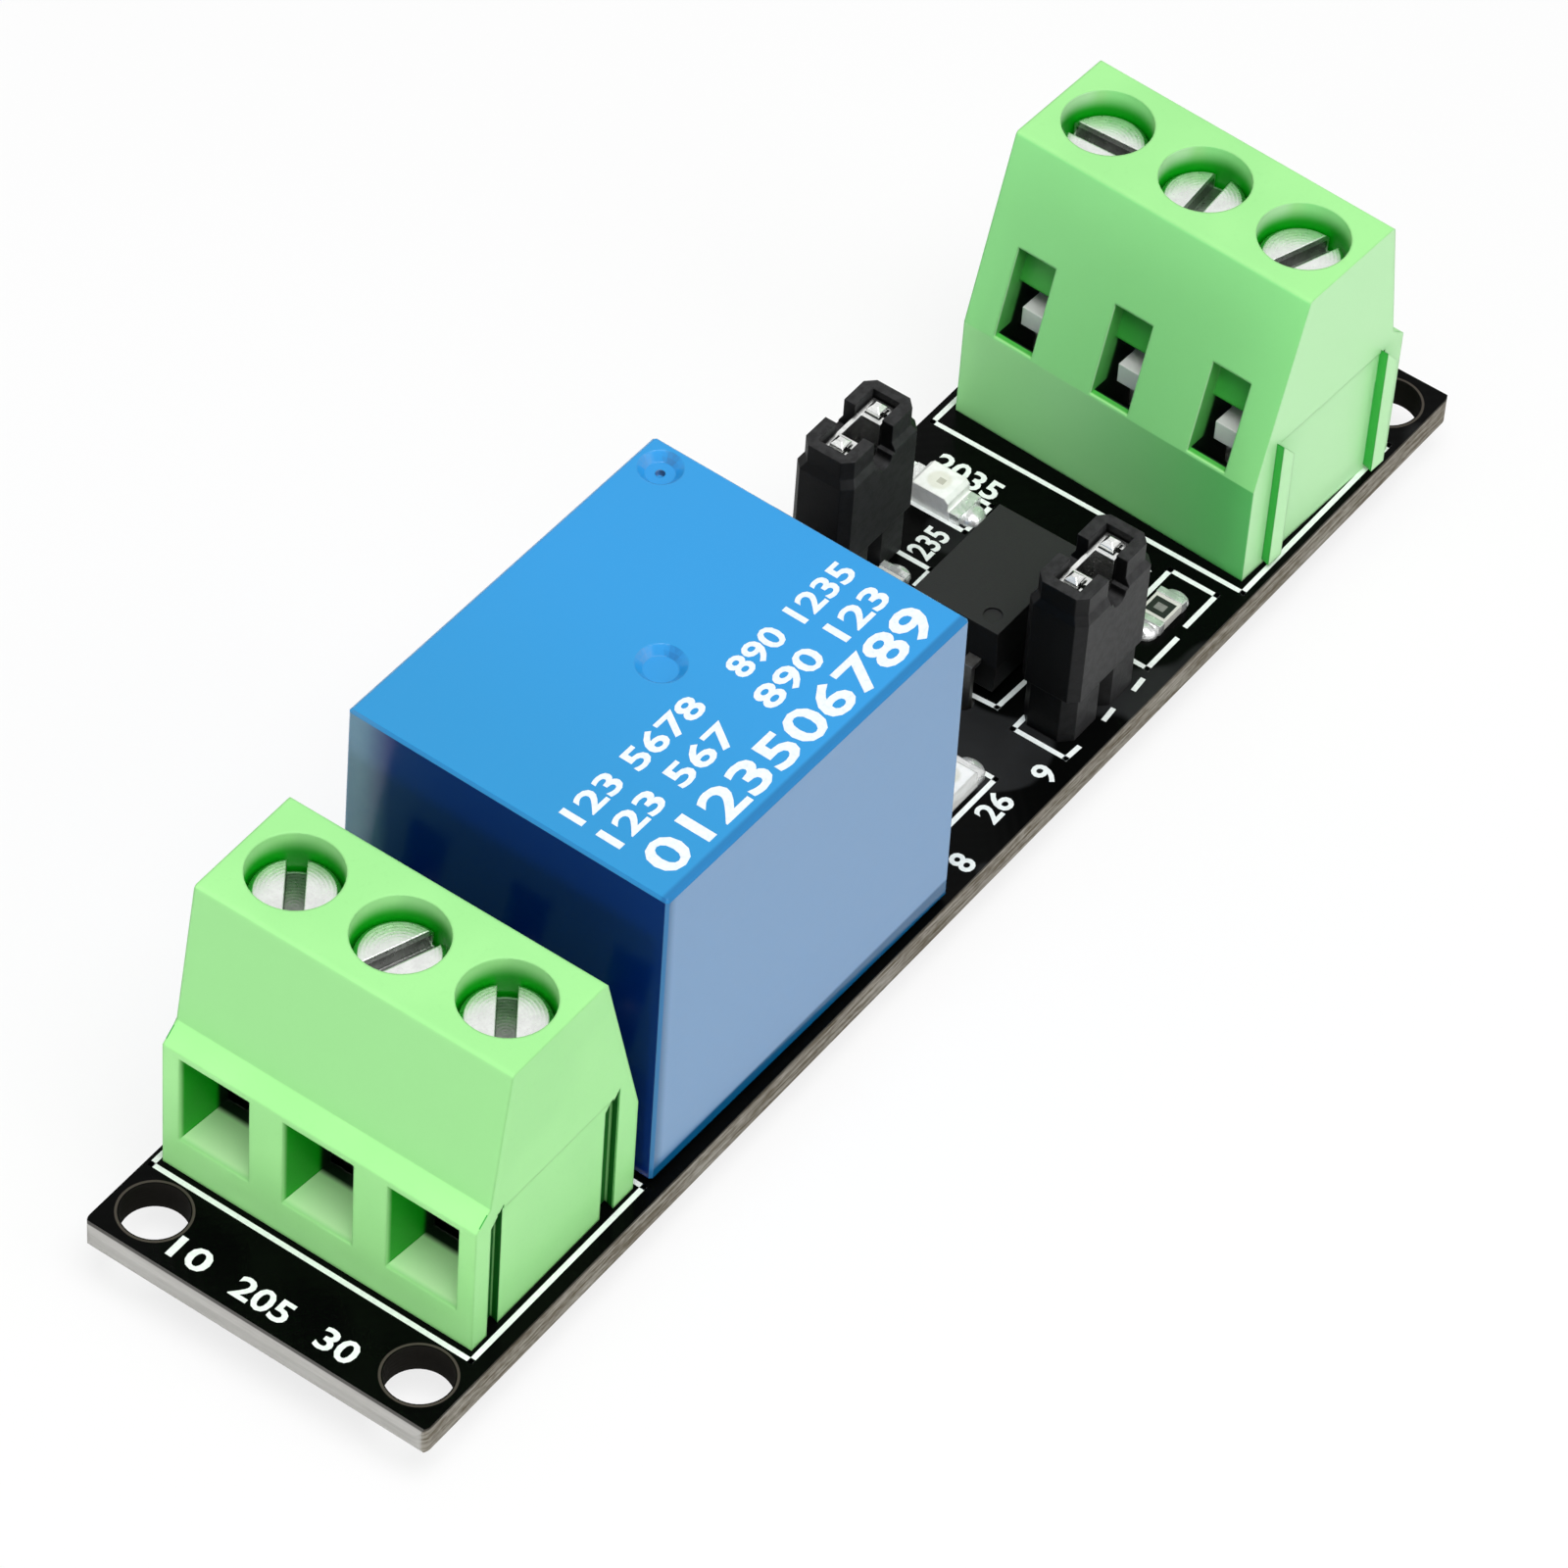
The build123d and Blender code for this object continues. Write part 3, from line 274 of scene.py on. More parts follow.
class RelayBoardTerminals(bpy.types.PropertyGroup):
    """The screw terminals."""
    plastic: colour("Plastic", "Light green moulded nylon", (0.38, 0.85, 0.31))
    plastic_shade: colour("Plastic shade", "Where the green nylon is a little deeper", (0.34, 0.79, 0.28))
    # Painted shade: the front, back and foot tints recolour those faces as shaded, and the foot shade is a painted
    # shadow at one end of that foot.
    slope: colour("Front tint", "Green of the sloped fronts", (0.32, 0.74, 0.27))
    back: colour("Back tint", "Deeper green of the sloped backs", (0.30, 0.84, 0.28))
    foot: colour("Foot tint", "Deeper green at the foot of the backs", (0.42, 1.0, 0.38))
    foot_painted_shadow: colour("Foot shade", "Deepest green at one end of that foot", (0.12, 0.62, 0.15))
    # Painted light: the side tint lightens the faces towards one side, and the entry floor tint lightens the floors
    # of the wire entries.
    side_painted_light: colour("Side tint", "Paler green of one side of each terminal", (0.50, 0.88, 0.46))
    floor: colour("Entry floor", "Paler green on the floors of the wire entries", (0.60, 1.0, 0.50))
    # Painted shade: the rail, groove, hollow and cavity tints darken the side joints, wells, wire entries, windows,
    # pockets and the inside of the poles.
    rail_painted_shade: colour("Rail tint", "Deep green beside the rails of the side joints", (0.03, 0.42, 0.05))
    groove_painted_shade: colour("Groove tint", "Deepest green in the grooves of the side joints", (0.005, 0.16, 0.012))
    hollow_painted_shade: colour("Hollow tint", "Deep green inside wells, wire entries and windows", (0.001, 0.38, 0.006))
    cavity_painted_shade: colour("Cavity tint", "Nearly black green inside the poles", (0.001, 0.010, 0.002))
    plating: colour("Plating", "Bright zinc on the screws and clamps", (0.96, 0.97, 0.95))
    tin: colour("Tin", "Tin plating of the bent strips and pins", (0.98, 0.98, 0.96))


class RelayBoardRelay(bpy.types.PropertyGroup):
    """The sealed relay."""
    cover: colour("Cover", "Glossy blue moulded cover", (0.026, 0.31, 0.70))
    # Painted light and shade on the cover: the deeper blue, the paler long side, the deeper rim, foot and left edge,
    # and the navy end; the greyed corner is a painted reflection.
    cover_painted_shade: colour("Cover shade", "Where the blue is a little deeper", (0.022, 0.285, 0.60))
    cover_side_painted_light: colour("Cover side", "Paler blue of the long side", (0.16, 0.31, 0.53))
    cover_rim_painted_shade: colour("Cover rim", "Deeper blue along the top's long edge", (0.012, 0.19, 0.46))
    cover_foot_painted_shade: colour("Cover foot", "Deeper blue at the foot and left edge of the long side", (0.002, 0.09, 0.22))
    cover_end_painted_shade: colour("Cover end", "Navy of the end beside the load terminal", (0.0003, 0.017, 0.15))
    cover_corner_painted_reflection: colour("Cover corner", "Greyed corner of the navy end", (0.14, 0.27, 0.38))
    ink: colour("Ink", "White print on the cover", (0.85, 0.92, 0.95))
    copper: colour("Winding", "Enamelled copper wire", (0.62, 0.24, 0.08))
    iron: colour("Iron", "Plated soft iron", (0.55, 0.54, 0.50))
    bronze: colour("Bronze", "Rolled spring bronze", (0.68, 0.45, 0.20))
    silver: colour("Silver", "Contact silver", (0.90, 0.89, 0.86))


class RelayBoardSmallParts(bpy.types.PropertyGroup):
    """Headers, jumpers, chips and solder."""
    black: colour("Black plastic", "Headers, jumper caps and relay base", (0.0015, 0.0015, 0.0016))
    # Painted light: the grey on the black plastic's edges, upper faces and faces towards -Y, in uneven patches like
    # scuffs.
    scuff_and_painted_light: colour("Scuffed plastic", "Where the black plastic is worn grey", (0.040, 0.040, 0.041))
    compound: colour("Moulding compound", "Dark grey chip bodies", (0.025, 0.026, 0.025))
    resin: colour("Resin", "Milky resin of the indicators", (0.99, 0.99, 0.97))
    haze: colour("Hazy resin", "Where the resin is cloudier", (0.90, 0.91, 0.88))
    cup: colour("Cup", "Cup under the light chip, seen through the resin", (0.52, 0.50, 0.30))
    die: colour("Die", "Light chip of an indicator, unlit", (0.25, 0.24, 0.16))
    ceramic: colour("Ceramic", "Pale ceramic of the chip resistors", (0.70, 0.69, 0.64))
    glaze: colour("Glaze", "Black glaze on the chip resistors", (0.012, 0.012, 0.013))
    label: colour("Label field", "Pale field on the glaze", (0.30, 0.30, 0.28))
    solder: colour("Solder", "Bright solder", (0.88, 0.89, 0.88))
    # Painted shade: the chip leads' tin is darkened to stand in for shade.
    painted_shade_lead: colour("Lead", "Dull tin of the chip leads", (0.20, 0.20, 0.19))


class RelayBoardStage(bpy.types.PropertyGroup):
    """Camera, lamps and floor."""
    azimuth: angle("Azimuth", "Where the camera stands round the board", -57.294)
    elevation: angle("Elevation", "How high the camera stands", 47.609)
    roll: angle("Roll", "How far the camera leans", 4.57)
    distance: length("Distance", "From the camera to the board's top, in mm", 343.542)
    aim_right: shift("Aim right", "Sideways place of the aim, in mm", -0.446)
    aim_up: shift("Aim up", "Upward place of the aim, in mm", 0.103)
    lens: length("Lens", "Focal length, in mm", 195.94)
    shift_x: shift("Shift X", "Sideways shift of the lens", -0.00376)
    shift_y: shift("Shift Y", "Upward shift of the lens", 0.00026)
    floor: colour("Floor", "Plain pale floor", (0.90, 0.90, 0.90))
    floor_lift: share("Floor lift", "How far the floor is whitened for the camera", 0.80)
    ambient: share("Ambient", "Even light from all round", 0.34)
    key: share("Key lamp", "Light of the large lamp overhead", 0.80)
    side: share("Side lamp", "Light of the lamp on the right", 0.16)
    front: share("Front lamp", "Light of the low lamp on the left", 0.22)


# Shader maths

class Signal:
    """A value in a node tree, with arithmetic that adds Math nodes."""

    def __init__(self, finish, socket):
        self.finish = finish
        self.socket = socket

    def math(self, operation, *others):
        values = {i: other for i, other in enumerate((self,) + others)}
        return self.finish.node("ShaderNodeMath", {"operation": operation}, values)

    def __add__(self, other):
        return self.math("ADD", other)

    def __radd__(self, other):
        return self.math("ADD", other)

    def __sub__(self, other):
        return self.math("SUBTRACT", other)

    def __rsub__(self, other):
        return self.finish.node("ShaderNodeMath", {"operation": "SUBTRACT"}, {0: other, 1: self})

    def __mul__(self, other):
        return self.math("MULTIPLY", other)

    def __rmul__(self, other):
        return self.math("MULTIPLY", other)

    def __truediv__(self, other):
        return self.math("DIVIDE", other)

    def __abs__(self):
        return self.math("ABSOLUTE")

    def sin(self):
        return self.math("SINE")

    def root(self):
        return self.math("SQRT")

    def floor(self):
        return self.math("FLOOR")

    def above(self, limit):
        return self.math("GREATER_THAN", limit)

    def below(self, limit):
        return self.math("LESS_THAN", limit)

    def highest(self, other):
        return self.math("MAXIMUM", other)

    def ramp(self, low, high):
        """0 below low, 1 above high, and a smooth rise between them."""
        return self.finish.node(
            "ShaderNodeMapRange", {"interpolation_type": "SMOOTHSTEP", "clamp": True},
            {"Value": self, "From Min": low, "From Max": high})


class Finish:
    """A material in the making, round one Principled shader."""

    def __init__(self, name):
        self.material = bpy.data.materials.new(name)
        self.material.use_nodes = True
        self.tree = self.material.node_tree
        self.shader = next(n for n in self.tree.nodes if n.type == "BSDF_PRINCIPLED")

    def node(self, kind, settings=None, inputs=None, output=0):
        """Adds a node, with its settings first and then the values or links of its sockets."""
        node = self.tree.nodes.new(kind)
        for key, value in (settings or {}).items():
            setattr(node, key, value)
        for key, value in (inputs or {}).items():
            self.feed(node.inputs[key], value)
        return Signal(self, node.outputs[output])

    def feed(self, socket, value):
        """Links a signal to a socket, or sets the socket's own value."""
        if isinstance(value, Signal):
            self.tree.links.new(value.socket, socket)
        elif isinstance(value, (tuple, list)) and len(value) == 3 and len(socket.default_value) == 4:
            socket.default_value = (*value, 1.0)
        else:
            socket.default_value = value

    def set(self, inputs):
        """Sets or links the shader's own sockets."""
        for key, value in inputs.items():
            self.feed(self.shader.inputs[key], value)
        return self

    def point(self):
        """The place on the piece, in millimetres."""
        place = self.node("ShaderNodeTexCoord", output=3)
        return self.scaled(place, (1 / MM, 1 / MM, 1 / MM))

    def scaled(self, vector, scale):
        return self.node("ShaderNodeVectorMath", {"operation": "MULTIPLY"}, {0: vector, 1: scale})

    def turned(self, vector, centre, turn):
        """A place seen from a centre, in axes turned about the vertical."""
        moved = self.node("ShaderNodeVectorMath", {"operation": "SUBTRACT"}, {0: vector, 1: centre})
        return self.node("ShaderNodeVectorRotate", {"rotation_type": "Z_AXIS"}, {"Vector": moved, "Angle": -turn})

    def axes(self, vector):
        """The three numbers of a vector."""
        tree_node = self.tree.nodes.new("ShaderNodeSeparateXYZ")
        self.feed(tree_node.inputs[0], vector)
        return [Signal(self, tree_node.outputs[i]) for i in range(3)]

    def facing(self):
        """The three numbers of the surface's own direction."""
        return self.axes(self.node("ShaderNodeNewGeometry", output=3))

    def noise(self, vector, scale, detail=3.0, roughness=0.55):
        return self.node("ShaderNodeTexNoise", None,
                         {"Vector": vector, "Scale": scale, "Detail": detail, "Roughness": roughness})

    def mix(self, factor, low, high):
        """A colour between two colours."""
        return self.node("ShaderNodeMix", {"data_type": "RGBA"}, {0: factor, 6: low, 7: high}, output=2)

    def bevel(self, radius):
        """The surface's direction with its edges rounded, the radius in millimetres."""
        return self.node("ShaderNodeBevel", {"samples": 6}, {"Radius": radius * MM})

    def bump(self, height, distance, strength=1.0, normal=None):
        """A bumped direction, the height's full travel in millimetres."""
        inputs = {"Height": height, "Distance": distance * MM, "Strength": strength}
        if normal is not None:
            inputs["Normal"] = normal
        return self.node("ShaderNodeBump", None, inputs)

    def edge(self, radius):
        """1 along the edges and 0 on the faces."""
        rounded = self.bevel(radius)
        plain = self.node("ShaderNodeNewGeometry", output=1)
        match = self.node("ShaderNodeVectorMath", {"operation": "DOT_PRODUCT"}, {0: rounded, 1: plain}, output=1)
        return (1.0 - match).ramp(0.01, 0.25)


def metal(name, tint, roughness, grain, grain_height, metallic=1.0, wear=0.74):
    """A plated or rolled metal with fine, uneven brushing. Its worn parts show the tint times wear."""
    finish = Finish(name)
    point = finish.point()
    cloud = finish.noise(point, 0.9)
    fine = finish.noise(finish.scaled(point, grain), 1.0, 2.0)
    dull = [channel * wear for channel in tint]
    tone = finish.mix((cloud * 0.5 + fine * 0.5).ramp(0.3, 0.7), dull, tuple(tint))
    normal = finish.bump(fine, grain_height, normal=finish.bevel(0.06))
    finish.set({"Base Color": tone, "Metallic": metallic, "Roughness": fine * 0.16 + roughness, "Normal": normal})
    return finish.material


def moulded(name, tint, shade, roughness, edge_radius, grain=9.0, grain_height=0.004, zones=None):
    """A moulded plastic with a faint drift of tone, a fine skin and rounded edges, and tinted zones if given."""
    finish = Finish(name)
    point = finish.point()
    drift = finish.noise(point, 0.16, 2.0).ramp(0.35, 0.65)
    speck = finish.noise(point, 3.4, 3.0).ramp(0.55, 0.8)
    tone = finish.mix(drift * 0.7 + speck * 0.3, tuple(tint), tuple(shade))
    for zone, zone_tint in (zones(finish, point) if zones else ()):
        tone = finish.mix(zone, tone, tuple(zone_tint))
    skin = finish.noise(point, grain, 2.0)
    normal = finish.bump(skin, grain_height, normal=finish.bevel(edge_radius))
    finish.set({"Base Color": tone, "Roughness": skin * 0.12 + roughness, "Normal": normal})
    return finish


# Pieces

def paint(node, material):
    """Gives a CAD node its finish."""
    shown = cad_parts[node]
    shown.data.materials.clear()
    shown.data.materials.append(material)


def piece(name, mesh_maker, material, body):
    """Makes a new piece that rides on a body."""
    work = bmesh.new()
    mesh_maker(work)
    mesh = bpy.data.meshes.new(name)
    work.to_mesh(mesh)
    work.free()
    mesh.materials.append(material)
    made = bpy.data.objects.new(name, mesh)
    bpy.context.scene.collection.objects.link(made)
    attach(made, body)
    return made


def place_of(x, y, z, turn=0.0):
    """A place in millimetres, turned about the vertical."""
    return Matrix.Translation(Vector((x, y, z)) * MM) @ Matrix.Rotation(turn, 4, "Z")


def strip(work, place, start, end, width, height):
    """A flat printed line with square ends, from a start to an end on its place's plane."""
    a = Vector((*start, 0.0))
    b = Vector((*end, 0.0))
    run = b - a
    turn = Matrix.Rotation(math.atan2(run.y, run.x), 4, "Z")
    middle = Matrix.Translation((a + b) / 2 * MM)
    size = Matrix.Diagonal(((run.length + width) * MM, width * MM, height * MM, 1.0))
    bmesh.ops.create_cube(work, size=1.0, matrix=place @ middle @ turn @ size)


def outline(work, place, points, width, height):
    """A printed line through points."""
    for start, end in zip(points, points[1:]):
        strip(work, place, start, end, width, height)


def digits(work, place, text, size, height, span):
    """Plain numbers, their middle at the place, size tall and span wide."""
    curve = bpy.data.curves.new("digits", "FONT")
    curve.body = text
    curve.align_x = "CENTER"
    curve.align_y = "CENTER"
    curve.offset = DIGIT_WEIGHT
    curve.extrude = 0.5
    curve.resolution_u = DIGIT_RESOLUTION
    shaped = bpy.data.objects.new("digits", curve)
    bpy.context.scene.collection.objects.link(shaped)
    graph = bpy.context.evaluated_depsgraph_get()
    mesh = bpy.data.meshes.new_from_object(shaped.evaluated_get(graph))
    xs = [v.co.x for v in mesh.vertices]
    ys = [v.co.y for v in mesh.vertices]
    wide = span / (max(xs) - min(xs))
    tall = size / (max(ys) - min(ys))
    centre = Matrix.Translation((-(max(xs) + min(xs)) / 2, -(max(ys) + min(ys)) / 2, 0.0))
    mesh.transform(place @ Matrix.Diagonal((wide * MM, tall * MM, height * MM, 1.0)) @ centre)
    work.from_mesh(mesh)
    bpy.data.objects.remove(shaped)
    bpy.data.meshes.remove(mesh)
    bpy.data.curves.remove(curve)


def blob(work, place, length_mm, width_mm, height_mm):
    """A low dome of solder, flat below."""
    size = Matrix.Diagonal((length_mm / 2 * MM, width_mm / 2 * MM, height_mm * MM, 1.0))
    made = bmesh.ops.create_uvsphere(work, u_segments=20, v_segments=12, radius=1.0, matrix=place @ size)
    low = place.translation.z
    for vert in made["verts"]:
        vert.co.z = max(vert.co.z, low)


# Finishes

def laminate_finish(look):
    """Black lacquer over woven glass, with cut edges that show the layers, and a bare ring at each hole."""
    finish = Finish("board lacquer")
    point = finish.point()
    x, y, z = finish.axes(point)
    normal = finish.facing()
    flat = abs(normal[2]).ramp(0.4, 0.6)
    end = abs(normal[0]).ramp(0.6, 0.9)
    hole_x = HOLE_SPACING_X / 2
    hole_y = HOLE_SPACING_Y / 2
    across = abs(x) - hole_x
    along = abs(y) - hole_y
    radius = (across * across + along * along).root()
    off_ring = abs(radius - look.ring_radius) / look.ring_width
    ring = 1.0 - off_ring.ramp(0.5, 1.0)
    cloud = finish.noise(point, 0.12, 3.0).ramp(0.4, 0.75)
    copper = finish.noise(point, 0.21, 1.0, 0.2).ramp(0.60, 0.63) * x.above(COPPER_START)
    lacquer = finish.mix(copper * (cloud * 0.5 + 0.3), tuple(look.mask), tuple(look.plane))
    face = finish.mix(ring, lacquer, tuple(look.ring))
    layers = finish.noise(finish.scaled(point, (0.25, 0.25, 5.5)), 1.0, 4.0)
    fibres = finish.noise(finish.scaled(point, (2.2, 2.2, 9.0)), 1.0, 3.0)
    cut = finish.mix((layers * 0.65 + fibres * 0.35).ramp(0.36, 0.66), tuple(look.edge_dark), tuple(look.edge_pale))
    cut = finish.mix(end * (layers * 0.3 + 0.7), cut, tuple(look.end_pale))
    lip = (z - BOARD_TOP + LACQUER_LIP).ramp(0.0, 0.06) * 0.8
    cut = finish.mix(lip.highest(radius.below(DRILLED_REACH)), cut, tuple(look.drilled))
    weave = (x * WEAVE).sin() * (y * WEAVE).sin()
    height = flat * weave * 0.12 + (1.0 - flat) * (1.0 - end * 0.7) * fibres
    finish.set({
        "Base Color": finish.mix(flat, cut, face),
        "Roughness": flat * (cloud * 0.1 - 0.46) + 0.72,
        "Normal": finish.bump(height, 0.03),
        "Specular IOR Level": 0.04,
    })
    return finish.material


def ink_finish(name, tint):
    """White print, a little uneven."""
    finish = Finish(name)
    point = finish.point()
    worn = finish.noise(point, 5.0, 3.0).ramp(0.3, 0.8)
    thin = [channel * 0.86 for channel in tint]
    finish.set({
        "Base Color": finish.mix(worn, tuple(tint), thin),
        "Roughness": worn * 0.15 + 0.5,
        "Normal": finish.bump(worn, 0.004),
    })
    return finish.material


def cover_finish(look):
    """The relay's glossy blue cover, with an orange-peel skin, painted light that makes a paler long side, and
    painted shade for its deeper edges and navy end.
    """
    def zones(finish, point):
        x, y, z = finish.axes(finish.turned(point, (RELAY[0], RELAY[1], 0.0), RELAY[2]))
        normal = finish.facing()
        # Painted light and shade: deeper blue towards the left end, a paler long side, deeper blue along the top's
        # long edge and at the foot and left edge of the long side, a navy end, and a painted reflection greying one
        # corner of that end.
        left = (0.0 - x).ramp(-4.0, 9.0)
        side = (0.0 - normal[1]).ramp(0.6, 0.9)
        end = (0.0 - normal[0]).ramp(0.6, 0.9)
        rim = normal[2].above(0.3) * (0.0 - y).ramp(COVER_HALF_WIDTH - 0.6, COVER_HALF_WIDTH - 0.4)
        foot = side * (x * COVER_FOOT_RISE + COVER_FOOT - z).ramp(-0.12, 0.12)
        left_edge = side * (0.0 - x).ramp(COVER_HALF_LENGTH - 0.75, COVER_HALF_LENGTH - 0.15)
        corner = end * y.ramp(COVER_HALF_WIDTH - 2.4, COVER_HALF_WIDTH - 0.6)
        corner = corner * (finish.noise(point, 0.5) * 0.4 + 0.7)
        return ((left * 0.8, look.cover_painted_shade), (side, look.cover_side_painted_light), (rim, look.cover_rim_painted_shade),
                (foot, look.cover_foot_painted_shade), (left_edge * 0.7, look.cover_foot_painted_shade), (end, look.cover_end_painted_shade),
                (corner, look.cover_corner_painted_reflection))

    finish = moulded("relay cover", look.cover, look.cover, roughness=0.10, edge_radius=0.1,
                     grain=1.6, grain_height=0.005, zones=zones)
    finish.set({"Specular IOR Level": 0.3})
    return finish.material


def terminal_finish(name, look, block):
    """Green nylon, with painted light and shade by face, and painted shade in its wells, entries, windows, pockets
    and grooves.
    """
    def zones(finish, point):
        u, v, z = finish.axes(finish.turned(point, (block[0], block[1], BOARD_TOP), block[2]))
        true_normal = finish.node("ShaderNodeNewGeometry", output=1)
        face_u, face_v, face_z = finish.axes(finish.turned(true_normal, (0.0, 0.0, 0.0), block[2]))
        aside = abs(v - (v / POLE_PITCH + 0.5).floor() * POLE_PITCH)
        radius = (u * u + aside * aside).root()
        within = TOP_HALF_DEPTH - u - (z - TERMINAL_TOP) * BACK_SLOPE
        # Painted light and shade by face: shaded fronts, backs and foot of the backs, a painted shadow at one end of
        # that foot, and a lit side.
        slope = (0.0 - face_u).ramp(0.7, 0.9) * z.above(SLOPE_BOTTOM) * (u + FRONT_EDGE).above(0.0)
        back = face_u.ramp(0.7, 0.9)
        foot = back * (FOOT_TOP - z).ramp(-0.05, 0.05)
        # Painted shade beside the rails, in the grooves, windows, pockets, wells, wire entries and inside the poles,
        # and painted light on the entry floors.
        rail_painted_shade = abs(face_u).above(0.5) * abs(v).above(SIDE_FACE) * abs(u).below(RAIL_REACH) * z.below(RAIL_TOP)
        groove_painted_shade = (v.above(-GROOVE_MOUTH) * v.below(-GROOVE_FLOOR) * z.below(GROOVE_TOP)
                  * abs(abs(u) - GROOVE_MIDDLE).below(GROOVE_HALF_WIDTH))
        window = (aside.below(WINDOW_HALF_WIDTH) * u.above(WINDOW_FRONT) * z.above(WINDOW_BOTTOM)
                  * z.below(WINDOW_TOP) * within.ramp(0.04, 0.16))
        deep_window = window * within.ramp(1.0, 1.3)
        pocket = (aside.below(POCKET_HALF_WIDTH) * u.above(WINDOW_FRONT) * u.below(POCKET_BACK)
                  * z.above(POCKET_BOTTOM) * z.below(POCKET_TOP))
        well = radius.below(WELL_RADIUS) * z.above(WELL_BOTTOM) * (TERMINAL_TOP - z).ramp(0.15, 1.1)
        entry = (aside.below(ENTRY_HALF_WIDTH) * u.below(-ENTRY_BACK) * z.below(ENTRY_TOP)
                 * (u + ENTRY_FRONT).ramp(0.0, 0.25))
        level = face_z.ramp(0.5, 0.8)
        inside = (u.ramp(-3.0, -2.7) * u.below(WINDOW_FRONT) * aside.below(CHAMBER_HALF_WIDTH)
                  * z.below(CHAMBER_TOP) * z.above(CHAMBER_BOTTOM))
        return ((slope, look.slope), (back, look.back), (foot, look.foot),
                (foot * v.ramp(-3.0, 8.0), look.foot_painted_shadow), (face_v.ramp(0.7, 0.9), look.side_painted_light),
                (rail_painted_shade, look.rail_painted_shade), (groove_painted_shade, look.groove_painted_shade), (window * 0.8, look.hollow_painted_shade), (well, look.hollow_painted_shade),
                (entry * level, look.floor), (entry * (1.0 - level), look.hollow_painted_shade),
                (deep_window, look.cavity_painted_shade), (pocket, look.cavity_painted_shade), (inside, look.cavity_painted_shade))

    finish = moulded(name, look.plastic, look.plastic_shade, roughness=0.34, edge_radius=0.16, zones=zones)
    finish.set({"Specular IOR Level": 0.35})
    return finish.material


def screw_finish(name, tint, centre, turn):
    """Plated screws of one terminal: turned rings on each head, painted shade in each slot, and a thread below it."""
    finish = Finish(name)
    point = finish.point()
    u, v, z = finish.axes(finish.turned(point, centre, turn))
    pole = (v / POLE_PITCH + 0.5).floor() * POLE_PITCH
    side = v - pole
    radius = (u * u + side * side).root()
    on_head = z.ramp(SCREW_HEAD_BOTTOM - 0.05, SCREW_HEAD_BOTTOM + 0.05)
    rings = (radius * 40.0).sin() * 0.5 + 0.5
    thread = (z * (2 * math.pi / THREAD_PITCH)).sin() * 0.5 + 0.5
    fine = finish.noise(point, 7.0, 3.0)
    cloud = finish.noise(point, 1.3, 2.0)
    dull = [channel * 0.86 for channel in tint]
    dark = [channel * 0.20 for channel in tint]
    # Painted shade: the slot in each head is darkened.
    slot = z.below(SLOT_TOP) * z.above(SLOT_BOTTOM) * radius.below(HEAD_RADIUS)
    tone = finish.mix((cloud * 0.6 + fine * 0.4).ramp(0.35, 0.7), dull, tuple(tint))
    tone = finish.mix(slot * (cloud * 0.5 + 0.6), tone, dark)
    heads = finish.bump(rings * 0.5 + fine * 0.5, 0.004, normal=finish.bevel(0.1))
    normal = finish.bump((1.0 - on_head) * thread, 0.25, normal=heads)
    finish.set({"Base Color": tone, "Metallic": 1.0, "Roughness": fine * 0.2 + 0.2, "Normal": normal})
    return finish.material


def scuff_and_painted_light_finish(look):
    """Black plastic, grey with painted light along its edges, on its upper faces and on those towards -Y, in uneven
    patches.
    """
    finish = Finish("black plastic")
    point = finish.point()
    normal = finish.facing()
    up = normal[2].ramp(0.5, 0.9)
    side = (0.0 - normal[1]).ramp(0.6, 0.9)
    rub = finish.noise(point, 2.6, 4.0).ramp(0.35, 0.62)
    # Painted light: a painted highlight along the edges and lighter grey on upper faces and faces towards -Y, in
    # uneven patches.
    worn = (up * (rub * 0.35 + 0.5)).highest(finish.edge(0.12) * 0.3).highest(side * (rub * 0.25 + 0.65))
    skin = finish.noise(point, 11.0, 2.0)
    finish.set({
        "Base Color": finish.mix(worn, tuple(look.black), tuple(look.scuff_and_painted_light)),
        "Roughness": skin * 0.14 + 0.42,
        "Normal": finish.bump(skin, 0.006, normal=finish.bevel(0.09)),
        "Specular IOR Level": 0.12,
    })
    return finish.material


def resistor_finish(name, look, centre, turn):
    """A chip resistor: black glaze with a paler label field on a pale ceramic block."""
    finish = Finish(name)
    point = finish.point()
    u, v = finish.axes(finish.turned(point, centre, turn))[:2]
    up = finish.facing()[2].ramp(0.5, 0.9)
    inside = abs(u).below(GLAZE_HALF_SIZE[0]) * abs(v).below(GLAZE_HALF_SIZE[1])
    label = abs(u).below(LABEL_HALF_SIZE[0]) * abs(v).below(LABEL_HALF_SIZE[1])
    fleck = finish.noise(point, 6.0, 3.0)
    glaze = finish.mix(label * (fleck * 0.5 + 0.5), tuple(look.glaze), tuple(look.label))
    finish.set({
        "Base Color": finish.mix(up * inside, tuple(look.ceramic), glaze),
        "Roughness": fleck * 0.2 + 0.3,
        "Normal": finish.bump(fleck, 0.01, normal=finish.bevel(0.04)),
    })
    return finish.material


